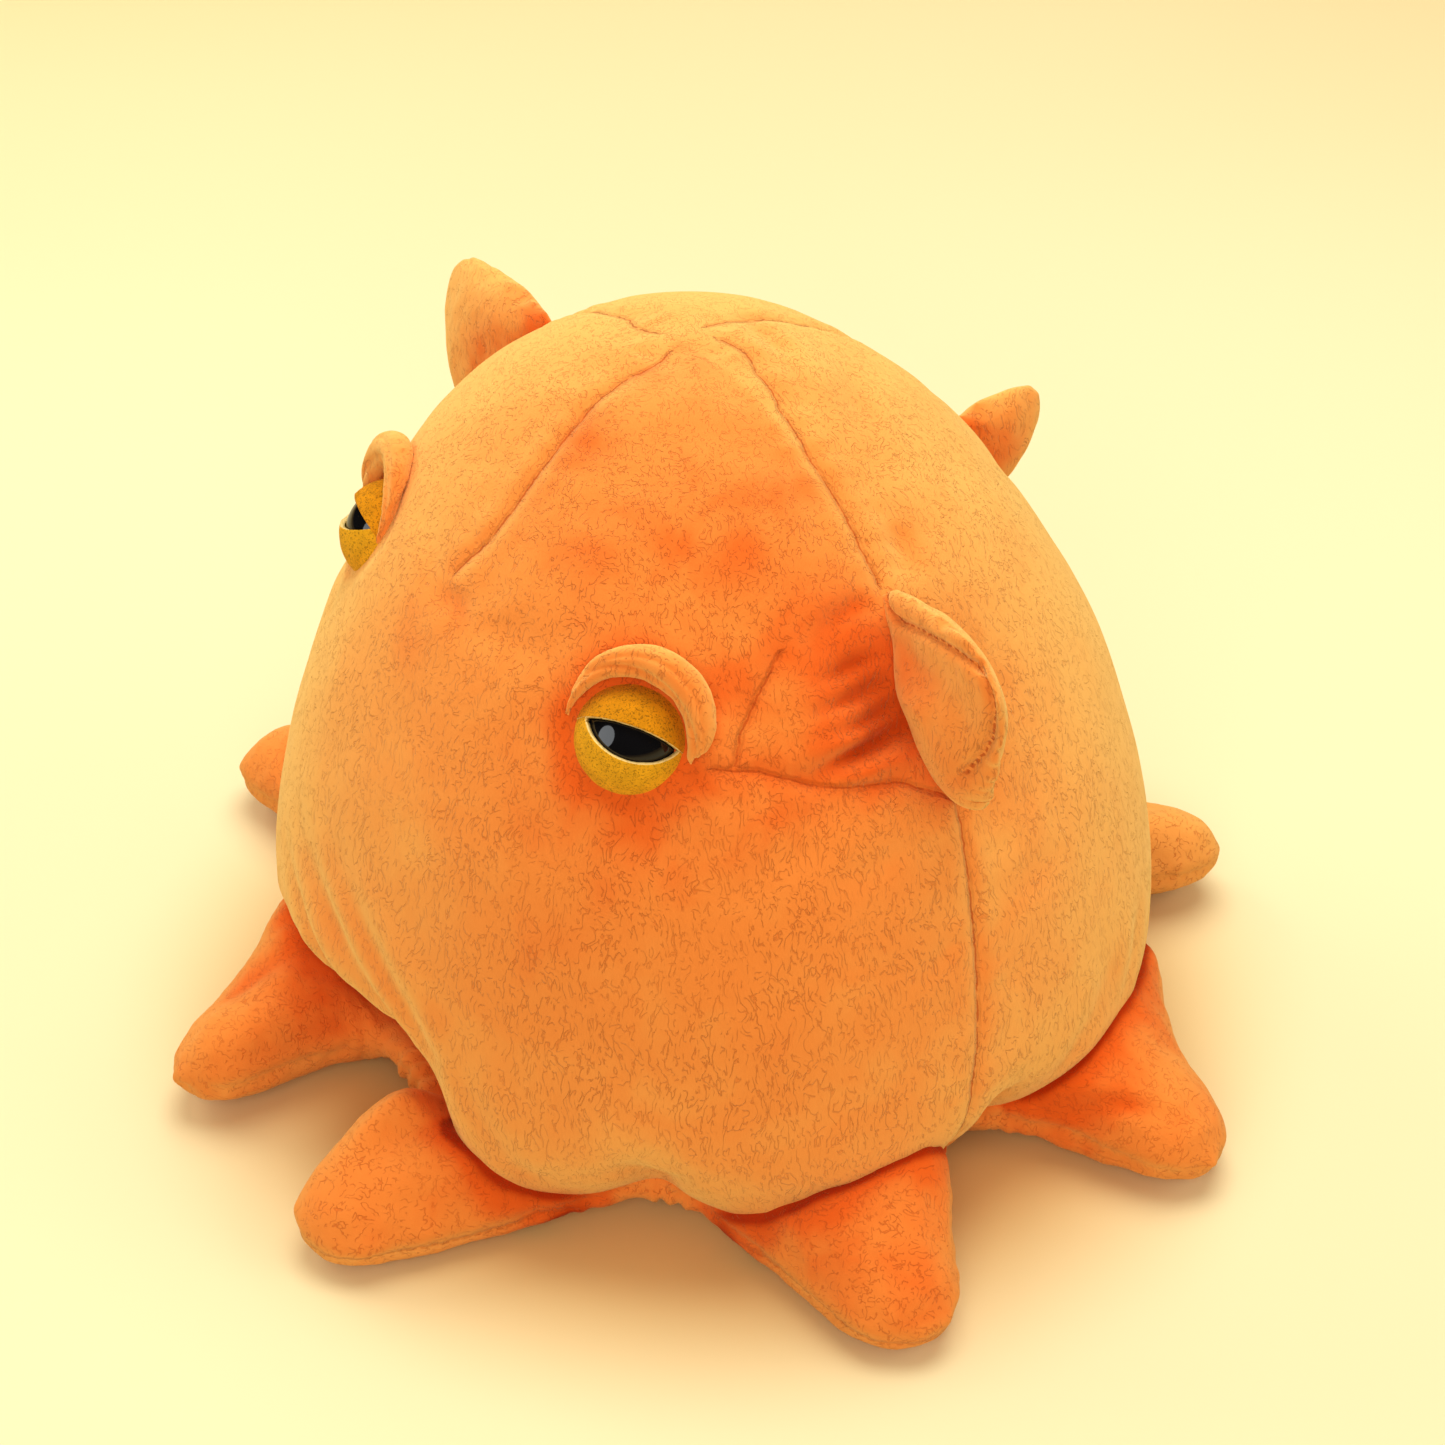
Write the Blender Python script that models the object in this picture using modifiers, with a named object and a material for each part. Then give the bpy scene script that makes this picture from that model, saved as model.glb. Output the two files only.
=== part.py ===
"""Plush dumbo octopus: a stuffed egg-shaped body on a skirt of eight short arms, with two side fins,
a back fin, and two lidded safety eyes under stuffed brows.

Metres, +Z up. The origin is on the floor under the middle of the body, the face looks along -Y and
the animal's left side is +X. A bearing is an angle in degrees from the face, positive to the left.
"""

from math import cos, hypot, pi, radians, sin, sqrt

import bmesh
import bpy
import numpy as np
from mathutils import Matrix, Vector
from mathutils.bvhtree import BVHTree

SEAT_GAP = 0.0003  # between two pieces that touch

# Body
BODY_HEIGHT = 0.2060
BELLY_RADIUS = 0.1195
BELLY_HEIGHT = 0.040
TUCK_HEIGHT = 0.046
TUCK_CURVE = 1.3
BASE_RADIUS = 0.0905
BASE_HEIGHT = 0.0123
DOME_FLATNESS = 1.75
DOME_FULLNESS = 2.1
LEAN = (-0.0145, 0.001)
BODY_COLUMNS = 64
BELLY_RINGS = 5
DOME_RINGS = 18
SEAM_CROWDING = 0.6
SEAM_DEPTH = 0.0014
SEAM_WIDTH = 0.0032
DART_END_HEIGHT = 0.166
CROWN_CALM = 0.006

# Arm skirt
NOTCH_RADIUS = 0.094
NOTCH_BEARINGS = (-10.5, 41.5, 92.5, 150.0, 191.0, 232.0, 270.0, 300.0)
NOTCH_HALF_ANGLES = (10.0, 6.0, 6.0, 3.0, 6.0, 6.0, 6.0, 1.0)
NOTCH_CORNER = 0.004
ARM_BEARINGS = (8.0, 69.5, 109.5, 160.0, 205.0, 249.0, 286.0, 338.5)
ARM_REACHES = (0.155, 0.1555, 0.158, 0.154, 0.151, 0.152, 0.165, 0.155)
ARM_TIP_RADIUS = 0.016
ARM_FLANK_SHARES = (0.22, 0.5, 0.75)
ARM_PUFF = 0.0175
ARM_PUFF_WIDTH = 0.017
ARM_ROOT_LIFT = 0.005
ARM_ROOT_LIFT_LENGTH = 0.022
SKIRT_HUB_RADIUS = 0.060
SKIRT_SEAT_RADIUS = BASE_RADIUS - 0.001
SKIRT_SEAM_HEIGHT = 0.008
SKIRT_EDGE = 0.0015
BODY_SEAT_CLEARANCE = 0.0009
BELLY_SIDE_CLEARANCE = 0.0042
PANEL_THICKNESS = 0.0016
PANEL_CURL_WIDTH = 0.012

# Fins
FIN_ROOT_TOP = {"left": 0.1695, "right": 0.1785}
FIN_ROOT_BOTTOM = {"left": 0.1250, "right": 0.1320}
FIN_REACH = 0.044
FIN_THICKNESS = 0.013
FIN_BEND = {"left": 0.010, "right": -0.010}
FIN_ROUNDNESS = 0.5
BACK_FIN_ROOT_TOP = 0.1455
BACK_FIN_ROOT_BOTTOM = 0.1220
BACK_FIN_REACH = 0.0335
BACK_FIN_THICKNESS = 0.011
BACK_FIN_ROUNDNESS = 0.3

# Eyes
EYE_BEARING = {"left": 39.5, "right": 37.5}
EYE_HEIGHT = {"left": 0.1475, "right": 0.1550}
EYE_SINK = 0.006
EYE_RADIUS = 0.0126
EYE_BACK = 0.0040
LID_THICKNESS = 0.0013
STEM_RADIUS = 0.0025
STEM_LENGTH = 0.0125
STEM_CHAMFER = 0.0008
WASHER_RADIUS = 0.0090
WASHER_THICKNESS = 0.0022
WASHER_DEPTH = 0.0065
SLIT_INNER_CORNER = (-0.727, 0.309)
SLIT_OUTER_CORNER = (0.924, -0.105)
UPPER_LID_MIDDLE = (0.187, 0.260)
LOWER_LID_MIDDLE = (0.200, -0.312)
EYE_STEPS = 24

# Brows
BROW_THICKNESS = 0.0098
BROW_SKEW = 1.5
BROW_START = 166.0
BROW_END = -14.0

SIDES = {"left": 1, "right": -1}


def new_collection(name, visible=True):
    collection = bpy.data.collections.new(name)
    collection.hide_render = not visible
    bpy.context.scene.collection.children.link(collection)
    return collection


def material(name, colour, roughness):
    made = bpy.data.materials.new(name)
    made.use_nodes = True
    shader = made.node_tree.nodes["Principled BSDF"]
    shader.inputs["Base Color"].default_value = (*colour, 1.0)
    shader.inputs["Roughness"].default_value = roughness
    shader.inputs["Metallic"].default_value = 0.0
    made.diffuse_color = (*colour, 1.0)
    return made


def add_object(name, mesh, collection, finish=None):
    obj = bpy.data.objects.new(name, mesh)
    collection.objects.link(obj)
    if finish:
        mesh.materials.append(finish)
    return obj


def mesh_of(bm, name, recalculate=True):
    mesh = bpy.data.meshes.new(name)
    if recalculate:
        bmesh.ops.recalc_face_normals(bm, faces=bm.faces)
    bm.to_mesh(mesh)
    bm.free()
    mesh.shade_smooth()
    return mesh


def applied(obj, name=None):
    """Replaces an object by a plain mesh object of its evaluated shape, welded where its caps meet."""
    bpy.context.view_layer.update()
    graph = bpy.context.evaluated_depsgraph_get()
    mesh = bpy.data.meshes.new_from_object(obj.evaluated_get(graph))
    mesh.transform(obj.matrix_world)
    bm = bmesh.new()
    bm.from_mesh(mesh)
    bmesh.ops.remove_doubles(bm, verts=bm.verts, dist=1e-5)
    bmesh.ops.recalc_face_normals(bm, faces=bm.faces)
    bm.to_mesh(mesh)
    bm.free()
    plain = bpy.data.objects.new(name or obj.name, mesh)
    for collection in obj.users_collection:
        collection.objects.link(plain)
    kept_name = obj.name
    bpy.data.objects.remove(obj)
    plain.name = name or kept_name
    mesh.shade_smooth()
    return plain


def turned(name, outline, steps, collection, finish=None):
    """A closed turned shape about Z, from (radius, height) points that run down its outer side."""
    mesh = bpy.data.meshes.new(name)
    points = [(radius, 0.0, height) for radius, height in outline]
    mesh.from_pydata(points, [(i, i + 1) for i in range(len(points) - 1)], [])
    obj = add_object(name, mesh, collection, finish)
    screw = obj.modifiers.new("turn", "SCREW")
    screw.steps = steps
    screw.render_steps = steps
    screw.use_merge_vertices = True
    screw.merge_threshold = 1e-5
    return obj


def subtract(obj, cutter):
    cut = obj.modifiers.new("cut", "BOOLEAN")
    cut.operation = "DIFFERENCE"
    cut.solver = "EXACT"
    cut.object = cutter
    cutter.display_type = "WIRE"
    cutter.hide_render = True


# The body's surface


def dome_radius(height):
    rise = min(1.0, max(0.0, (height - BELLY_HEIGHT) / (BODY_HEIGHT - BELLY_HEIGHT)))
    return BELLY_RADIUS * (1 - rise**DOME_FLATNESS) ** (1 / DOME_FULLNESS)


def body_radius(height):
    """Radius of the body at a height: a full dome, tucked in below towards the arms."""
    if height >= TUCK_HEIGHT:
        return dome_radius(height)
    drop = min(1.0, (TUCK_HEIGHT - height) / (TUCK_HEIGHT - BASE_HEIGHT))
    return BASE_RADIUS + (dome_radius(TUCK_HEIGHT) - BASE_RADIUS) * (1 - drop**TUCK_CURVE)


def body_underside(radius):
    """Height of the body's lower surface at a distance from the middle."""
    share = (radius - BASE_RADIUS) / (dome_radius(TUCK_HEIGHT) - BASE_RADIUS)
    drop = (1 - min(1.0, max(0.0, share))) ** (1 / TUCK_CURVE)
    return TUCK_HEIGHT - (TUCK_HEIGHT - BASE_HEIGHT) * drop


def lean_at(height):
    share = max(0.0, (height - BASE_HEIGHT) / (BODY_HEIGHT - BASE_HEIGHT)) ** 2
    return Vector((LEAN[0] * share, LEAN[1] * share, 0.0))


def outward(bearing):
    return Vector((sin(radians(bearing)), -cos(radians(bearing)), 0.0))


def skin(bearing, height):
    point = outward(bearing) * body_radius(height) + lean_at(height)
    point.z = height
    return point


def skin_normal(bearing, height):
    step = 0.0005
    up = skin(bearing, height + step) - skin(bearing, height - step)
    around = skin(bearing + 0.5, height) - skin(bearing - 0.5, height)
    return around.cross(up).normalized()


def body_outline():
    """(radius, height) from the crown down to the middle of the base."""
    crown = [i / DOME_RINGS * pi / 2 for i in range(DOME_RINGS)]
    heights = [TUCK_HEIGHT + (BODY_HEIGHT - TUCK_HEIGHT) * cos(angle) for angle in crown]
    tuck = TUCK_HEIGHT - BASE_HEIGHT
    heights += [TUCK_HEIGHT - tuck * i / BELLY_RINGS for i in range(BELLY_RINGS + 1)]
    rim = [(body_radius(height), height) for height in heights]
    return rim + [(BASE_RADIUS * 0.6, BASE_HEIGHT), (0.0, BASE_HEIGHT)]


def seam_lines():
    """The body's seams as chains of points: side seams, centre back, forehead dart and eye corners."""
    below_top = BODY_HEIGHT - 0.0005
    lines = [
        [skin(bearing, BASE_HEIGHT + (below_top - BASE_HEIGHT) * i / 24) for i in range(25)]
        for bearing in (90, -90, 180)
    ]
    dart = [DART_END_HEIGHT + (below_top - DART_END_HEIGHT) * i / 8 for i in range(9)]
    lines.append([skin(0, height) for height in dart])
    for side, sign in SIDES.items():
        start = EYE_HEIGHT[side] - 0.0075
        route = [(EYE_BEARING[side] + 12, start), (EYE_BEARING[side] + 26, start - 0.0065)]
        route += [(86, FIN_ROOT_BOTTOM[side])]
        lines.append([skin(sign * bearing, height) for bearing, height in route])
    return lines


def dents():
    """Hollows and swellings of the stuffed skin: bearing, height, width and depth (minus swells)."""
    marks = []
    for side, sign in SIDES.items():
        marks += [
            (sign * (EYE_BEARING[side] + 4), EYE_HEIGHT[side] - 0.022, 0.011, 0.0020),
            (sign * 78, FIN_ROOT_BOTTOM[side] + 0.010, 0.009, 0.0028),
            (sign * 77, FIN_ROOT_BOTTOM[side] + 0.024, 0.009, 0.0022),
            (sign * 71, FIN_ROOT_BOTTOM[side] + 0.017, 0.009, -0.0014),
            (sign * 104, FIN_ROOT_BOTTOM[side] + 0.012, 0.010, 0.0018),
            (sign * 9, EYE_HEIGHT[side] + 0.004, 0.012, 0.0016),
        ]
    marks += [(-70, 0.185, 0.016, 0.0014), (120, 0.178, 0.014, 0.0016), (20, 0.060, 0.018, -0.0012)]
    return marks


def chain_distance(points, chain):
    """Distance of each point to a chain of points, as an array."""
    nearest = np.full(len(points), 1e9)
    for start, end in zip(chain, chain[1:]):
        a, b = np.array(start), np.array(end)
        along = np.clip((points - a) @ (b - a) / max((b - a) @ (b - a), 1e-12), 0, 1)
        nearest = np.minimum(nearest, np.linalg.norm(points - a - along[:, None] * (b - a), axis=1))
    return nearest


def make_body(collection, cutters, finish):
    """The stuffed body: turned, then leaned, with its seams drawn in and its hollows pressed in."""
    body = turned("body", body_outline(), BODY_COLUMNS, collection)
    body = applied(body)
    mesh = body.data
    places, sides = [], []
    for vertex in mesh.vertices:
        x, y, z = vertex.co
        turn = np.arctan2(y, x)
        turn -= SEAM_CROWDING / 4 * sin(4 * turn)
        side = Vector((cos(turn), sin(turn), 0.0))
        point = side * hypot(x, y) + lean_at(z)
        point.z = z
        places.append(point)
        sides.append(vertex.normal.copy())
    points = np.array(places)
    press = np.zeros(len(points))
    for line in seam_lines():
        press += SEAM_DEPTH * np.exp(-((chain_distance(points, line) / SEAM_WIDTH) ** 2))
    press = np.minimum(press, SEAM_DEPTH)
    for bearing, height, width, depth in dents():
        reach = np.linalg.norm(points - np.array(skin(bearing, height)), axis=1)
        press += depth * np.exp(-((reach / width) ** 2))
    press[points[:, 2] < BASE_HEIGHT + 0.001] = 0.0
    press *= np.clip((BODY_HEIGHT - points[:, 2]) / CROWN_CALM, 0, 1)
    for vertex, place, side, depth in zip(mesh.vertices, places, sides, press):
        vertex.co = place - side * float(depth)
    mesh.materials.append(finish)
    for side in SIDES:
        subtract(body, eye_pocket(side, cutters))
    return body


# The eyes


def eye_frame(side):
    """The eye's place and axes: X runs outward along the face, Y up the body, Z out of the eye."""
    bearing = SIDES[side] * EYE_BEARING[side]
    out = skin_normal(bearing, EYE_HEIGHT[side])
    centre = skin(bearing, EYE_HEIGHT[side]) - out * EYE_SINK
    across = Vector((0, 0, 1)).cross(out).normalized()
    up = out.cross(across)
    frame = Matrix((across, up, out)).transposed().to_4x4()
    return Matrix.Translation(centre) @ frame


def eye_pocket(side, cutters):
    """The hollow for the back of an eye, its stem and its washer."""
    cup = EYE_RADIUS + SEAT_GAP + LID_THICKNESS + SEAT_GAP
    floor = EYE_BACK + SEAT_GAP
    stem = STEM_RADIUS + SEAT_GAP
    washer = WASHER_RADIUS + SEAT_GAP
    washer_top = EYE_BACK + WASHER_DEPTH - SEAT_GAP
    washer_end = EYE_BACK + WASHER_DEPTH + WASHER_THICKNESS + SEAT_GAP
    end = EYE_BACK + STEM_LENGTH + SEAT_GAP
    outline = [(0.0, cup), (cup, cup), (cup, 0.0), (sqrt(cup**2 - floor**2), -floor)]
    outline += [(stem, -floor), (stem, -washer_top), (washer, -washer_top), (washer, -washer_end)]
    outline += [(stem, -washer_end), (stem, -end), (0.0, -end)]
    cutter = turned("eye_pocket_" + side, outline, EYE_STEPS, cutters)
    cutter.matrix_world = eye_frame(side)
    return cutter


def arc(radius, start, end, count):
    """(radius, height) points of a circle about the eye's middle, from one height angle to another."""
    angles = [radians(start + (end - start) * i / count) for i in range(count + 1)]
    return [(radius * cos(angle), radius * sin(angle)) for angle in angles]


def make_eye(side, collection, finish):
    """A domed safety eye: ball front, flat back and a moulded stem."""
    low = -np.degrees(np.arcsin(EYE_BACK / EYE_RADIUS))
    outline = arc(EYE_RADIUS, 90, low, 7)
    outline[0] = (0.0, EYE_RADIUS)
    end = EYE_BACK + STEM_LENGTH
    outline += [(STEM_RADIUS, -EYE_BACK), (STEM_RADIUS, -end + STEM_CHAMFER)]
    outline += [(STEM_RADIUS - STEM_CHAMFER, -end), (0.0, -end)]
    eye = turned("eye_" + side, outline, EYE_STEPS, collection, finish)
    eye.matrix_world = eye_frame(side)
    return eye


def make_washer(side, collection, finish):
    """The ring that locks on the stem inside the body."""
    bore = STEM_RADIUS + SEAT_GAP
    top = -EYE_BACK - WASHER_DEPTH
    bottom = top - WASHER_THICKNESS
    outline = [(bore, top), (WASHER_RADIUS, top), (WASHER_RADIUS, bottom), (bore, bottom), (bore, top)]
    washer = turned("eye_washer_" + side, outline, EYE_STEPS, collection, finish)
    washer.matrix_world = eye_frame(side)
    return washer


def on_ball(point, mirror):
    """A point given by its shares across and up the lids' ball, on that ball's front."""
    across, up = point
    return Vector((mirror * across, up, sqrt(max(0.0, 1 - across**2 - up**2))))


def slit_plane(middle, mirror):
    """The plane of a lid's edge: a point on it, and its normal, which points up the eye."""
    inner, outer = on_ball(SLIT_INNER_CORNER, mirror), on_ball(SLIT_OUTER_CORNER, mirror)
    normal = (outer - inner).cross(on_ball(middle, mirror) - inner).normalized()
    radius = EYE_RADIUS + SEAT_GAP + LID_THICKNESS
    return inner * radius, normal if normal.y > 0 else -normal


def half_space(name, point, normal, cutters):
    """A block whose face passes through the point, and which fills the side the normal points to."""
    size = 0.06
    bm = bmesh.new()
    bmesh.ops.create_cube(bm, size=size, matrix=Matrix.Translation((0, 0, size / 2)))
    bm.transform(Matrix.Translation(point) @ normal.to_track_quat("Z", "Y").to_matrix().to_4x4())
    block = add_object(name, mesh_of(bm, name, recalculate=False), cutters)
    block.hide_render = True
    block.display_type = "WIRE"
    return block


def make_lid(which, side, collection, cutters, finish):
    """A felt lid: a piece of a ball's shell, cut along the slit and at the eye's back."""
    name = f"{which}_lid_{side}"
    inner = EYE_RADIUS + SEAT_GAP
    outer = inner + LID_THICKNESS
    low = -np.degrees(np.arcsin(EYE_BACK / outer))
    low_inner = -np.degrees(np.arcsin(EYE_BACK / inner))
    outline = [(0.0, outer)] + arc(outer, 90, low, 7)[1:]
    outline += arc(inner, low_inner, 90, 6)[:-1] + [(0.0, inner)]
    shell = turned(name, outline, EYE_STEPS, collection, finish)
    upper_point, upper_normal = slit_plane(UPPER_LID_MIDDLE, SIDES[side])
    lower_point, lower_normal = slit_plane(LOWER_LID_MIDDLE, SIDES[side])
    if which == "upper":
        blocks = [half_space("below_" + name, upper_point, -upper_normal, cutters)]
    else:
        under = upper_point - upper_normal * SEAT_GAP
        blocks = [
            half_space("above_" + name, lower_point, lower_normal, cutters),
            half_space("beyond_" + name, under, upper_normal, cutters),
        ]
    for block in blocks:
        block.matrix_world = eye_frame(side)
        subtract(shell, block)
    shell.matrix_world = eye_frame(side)
    return shell


def settle(obj, direction, surface, gap):
    """Moves a plain mesh piece along a direction until its nearest point lies one gap off a surface."""
    for _ in range(4):
        nearest = 1.0
        for vertex in obj.data.vertices:
            place, normal, _, _ = surface.find_nearest(vertex.co)
            offset = vertex.co - place
            nearest = min(nearest, offset.length if offset.dot(normal) > 0 else -offset.length)
        obj.data.transform(Matrix.Translation(direction * (gap - nearest)))


def make_brow(side, collection, surface, finish):
    """The stuffed crescent roll that hoods an eye, fat over the top and thin at both ends."""
    data = bpy.data.curves.new("brow_" + side, "CURVE")
    data.dimensions = "3D"
    data.bevel_depth = BROW_THICKNESS / 2
    data.bevel_resolution = 3
    data.use_fill_caps = True
    count = 19
    spline = data.splines.new("POLY")
    spline.points.add(count - 1)
    ball = EYE_RADIUS + SEAT_GAP + LID_THICKNESS
    frame = eye_frame(side)
    for i, point in enumerate(spline.points):
        share = i / (count - 1)
        angle = radians(BROW_START + (BROW_END - BROW_START) * share)
        fatness = 0.24 + 0.76 * sin(pi * share**BROW_SKEW) ** 0.8
        thick = BROW_THICKNESS / 2 * fatness
        away = ball + 2 * SEAT_GAP + thick
        drop = away**2 / (2 * BELLY_RADIUS) - EYE_SINK
        local = Vector((SIDES[side] * away * cos(angle), away * sin(angle), thick - drop))
        point.co = (*(frame @ local), 1.0)
        point.radius = fatness
    brow = bpy.data.objects.new("brow_" + side, data)
    collection.objects.link(brow)
    brow = applied(brow)
    settle(brow, frame.to_3x3() @ Vector((0, 0, 1)), surface, SEAT_GAP)
    brow.data.materials.append(finish)
    return brow


# The fins


def make_fin(name, bearing, top, bottom, reach, thickness, bend, roundness, collection, surface, finish):
    """A puffy flap that stands on the skin along a bearing, between two heights."""
    along, across = 6, 3
    bm = bmesh.new()
    bmesh.ops.create_grid(bm, x_segments=along, y_segments=across, size=0.5)
    middle_height = (top + bottom) / 2
    out = skin_normal(bearing, middle_height)
    sideways = Vector((0, 0, 1)).cross(out).normalized()
    puffs = {}
    for index, vertex in enumerate(bm.verts):
        down, outwards = 0.5 - vertex.co.x, vertex.co.y + 0.5
        height = top + (bottom - top) * down
        length = reach * max(0.03, sin(pi * down)) ** roundness
        swing = bend * outwards**2 * (length / reach)
        vertex.co = skin(bearing, height) + out * (length * outwards) - sideways * swing
        edge = (1 - abs(2 * down - 1) ** 3) * (1 - outwards**3)
        puffs[index] = 0.12 + 0.88 * sqrt(max(0.0, edge))
    fin = add_object(name, mesh_of(bm, name), collection)
    group = fin.vertex_groups.new(name="puff")
    for index, weight in puffs.items():
        group.add([index], weight, "REPLACE")
    shell = fin.modifiers.new("stuffing", "SOLIDIFY")
    shell.thickness = thickness
    shell.offset = 0.0
    shell.vertex_group = "puff"
    shell.use_even_offset = False
    smooth = fin.modifiers.new("soft", "SUBSURF")
    smooth.levels = 1
    smooth.render_levels = 1
    fin = applied(fin)
    settle(fin, out, surface, SEAT_GAP)
    fin.data.materials.append(finish)
    return fin


# The arm skirt


def notch_after(number):
    """Bearing of the notch that follows an arm, counted on past a full turn."""
    return NOTCH_BEARINGS[number + 1] if number < 7 else NOTCH_BEARINGS[0] + 360.0


def arm_outline(number):
    """One arm's edge in plan, from the notch before it up to, and without, the notch after it."""
    before, after = NOTCH_BEARINGS[number], notch_after(number)
    corner = NOTCH_RADIUS + NOTCH_CORNER
    root_before = outward(before + NOTCH_HALF_ANGLES[number]) * corner
    root_after = outward(after - NOTCH_HALF_ANGLES[(number + 1) % 8]) * corner
    tip = outward(ARM_BEARINGS[number]) * (ARM_REACHES[number] - ARM_TIP_RADIUS)
    ahead = (tip - (root_before + root_after) / 2).normalized()
    aside = Vector((0, 0, 1)).cross(ahead)

    def flank(corner, side):
        return [(tip + aside * (side * ARM_TIP_RADIUS)).lerp(corner, share) for share in ARM_FLANK_SHARES]

    points = [outward(before) * NOTCH_RADIUS, root_before, *flank(root_before, -1)[::-1]]
    for angle in (-72, -36, 0, 36, 72):
        points.append(tip + (ahead * cos(radians(angle)) + aside * sin(radians(angle))) * ARM_TIP_RADIUS)
    return points + [*flank(root_after, 1), root_after]


def quarter_round(share):
    """Height share of a rounded edge, from 0 at the edge to 1 at its full width and beyond."""
    return sqrt(1 - (1 - min(share, 1.0)) ** 2)


def panel_bottom(edge_distance):
    edge = SKIRT_SEAM_HEIGHT - SEAT_GAP / 2 - PANEL_THICKNESS
    return edge * (1 - quarter_round(edge_distance / PANEL_CURL_WIDTH))


def panel_top(edge_distance):
    return panel_bottom(edge_distance) + PANEL_THICKNESS


def skirt_bottom(edge_distance):
    return panel_top(edge_distance) + SEAT_GAP


def star_rows(hub, shares, height_of):
    """Rings of points from the hub out to the arms' edge, with heights from the distance to the edge."""
    outline, bearings = [], []
    for number in range(8):
        edge = arm_outline(number)
        before, after = NOTCH_BEARINGS[number], notch_after(number)
        outline += edge
        bearings += [before + (after - before) * i / len(edge) for i in range(len(edge))]
    loop = np.array(outline + outline[:1])[:, :2]
    rows = []
    for share in shares:
        row = []
        for bearing, edge in zip(bearings, outline):
            point = (outward(bearing) * hub).lerp(edge, share)
            flat = np.array([[point.x, point.y]])
            away = float(chain_distance(flat, loop)[0]) if share < 1 else 0.0
            point.z = height_of(away, point)
            row.append(point)
        rows.append(row)
    return rows


def star_solid(name, top_rows, bottom_rows, collection, finish):
    """Closes two star surfaces that share their edge line, with a flat hub on each."""
    bm = bmesh.new()
    rings = [[bm.verts.new(point) for point in row] for row in top_rows + bottom_rows[::-1]]
    count = len(rings[0])
    for number, (first, second) in enumerate(zip(rings, rings[1:])):
        for i in range(count):
            j = (i + 1) % count
            if number < len(top_rows):
                bm.faces.new((first[i], second[i], second[j]))
                bm.faces.new((first[i], second[j], first[j]))
            else:
                bm.faces.new((first[i], second[i], first[j]))
                bm.faces.new((second[i], second[j], first[j]))
    bm.faces.new(rings[0])
    bm.faces.new(rings[-1])
    return add_object(name, mesh_of(bm, name), collection, finish)


def make_skirt(collection, plush, backing):
    """The stuffed star of eight arms, dished where the body sits, and the panel under it."""

    def top_height(away, point):
        puff = quarter_round(away / ARM_PUFF_WIDTH)
        inward = BELLY_RADIUS + ARM_ROOT_LIFT_LENGTH - hypot(point.x, point.y)
        lift = ARM_ROOT_LIFT * min(1.0, max(0.0, inward / ARM_ROOT_LIFT_LENGTH))
        dome = SKIRT_SEAM_HEIGHT + SKIRT_EDGE + (ARM_PUFF + lift - SKIRT_EDGE) * puff
        below_belly = body_underside(hypot(point.x, point.y) - BELLY_SIDE_CLEARANCE)
        return min(dome, below_belly - BODY_SEAT_CLEARANCE)

    upper = (0.0, 0.08, 0.16, 0.26, 0.37, 0.49, 0.62, 0.77, 0.9, 1.0)
    top = star_rows(SKIRT_SEAT_RADIUS, upper, top_height)
    lower = (0.0, 0.65, 0.86, 1.0)
    under = star_rows(SKIRT_HUB_RADIUS, lower, lambda away, point: skirt_bottom(away))
    star_solid("arm_skirt", top, under, collection, plush)
    panel_rows = [star_rows(SKIRT_HUB_RADIUS, lower, lambda away, point: panel_top(away))]
    panel_rows.append(star_rows(SKIRT_HUB_RADIUS, lower, lambda away, point: panel_bottom(away)))
    star_solid("skirt_underside", *panel_rows, collection, backing)


def main():
    for obj in list(bpy.data.objects):
        bpy.data.objects.remove(obj)
    parts = new_collection("dumbo_octopus")
    cutters = new_collection("cutters", visible=False)
    plush = material("orange_plush", (0.88, 0.21, 0.03), 0.95)
    backing = material("underside_plush", (0.85, 0.24, 0.04), 0.95)
    felt = material("ochre_felt", (0.66, 0.36, 0.02), 0.95)
    gloss = material("black_gloss_plastic", (0.006, 0.006, 0.007), 0.06)
    clear = material("washer_plastic", (0.8, 0.8, 0.78), 0.4)

    body = make_body(parts, cutters, plush)
    bpy.context.view_layer.update()
    corners = [vertex.co for vertex in body.data.vertices]
    surface = BVHTree.FromPolygons(corners, [face.vertices for face in body.data.polygons])
    make_skirt(parts, plush, backing)
    for side, sign in SIDES.items():
        make_eye(side, parts, gloss)
        make_washer(side, parts, clear)
        make_lid("upper", side, parts, cutters, felt)
        make_lid("lower", side, parts, cutters, felt)
        make_brow(side, parts, surface, plush)
        bend = FIN_BEND[side] * sign
        size = (FIN_ROOT_TOP[side], FIN_ROOT_BOTTOM[side], FIN_REACH, FIN_THICKNESS)
        make_fin("side_fin_" + side, sign * 90, *size, bend, FIN_ROUNDNESS, parts, surface, plush)
    size = (BACK_FIN_ROOT_TOP, BACK_FIN_ROOT_BOTTOM, BACK_FIN_REACH, BACK_FIN_THICKNESS)
    make_fin("back_fin", 180, *size, 0.0, BACK_FIN_ROUNDNESS, parts, surface, plush)


main()
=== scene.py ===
from math import cos, pi, radians, sin, sqrt

import bmesh
import bpy
import numpy as np
from mathutils import Matrix, Vector, noise


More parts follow.
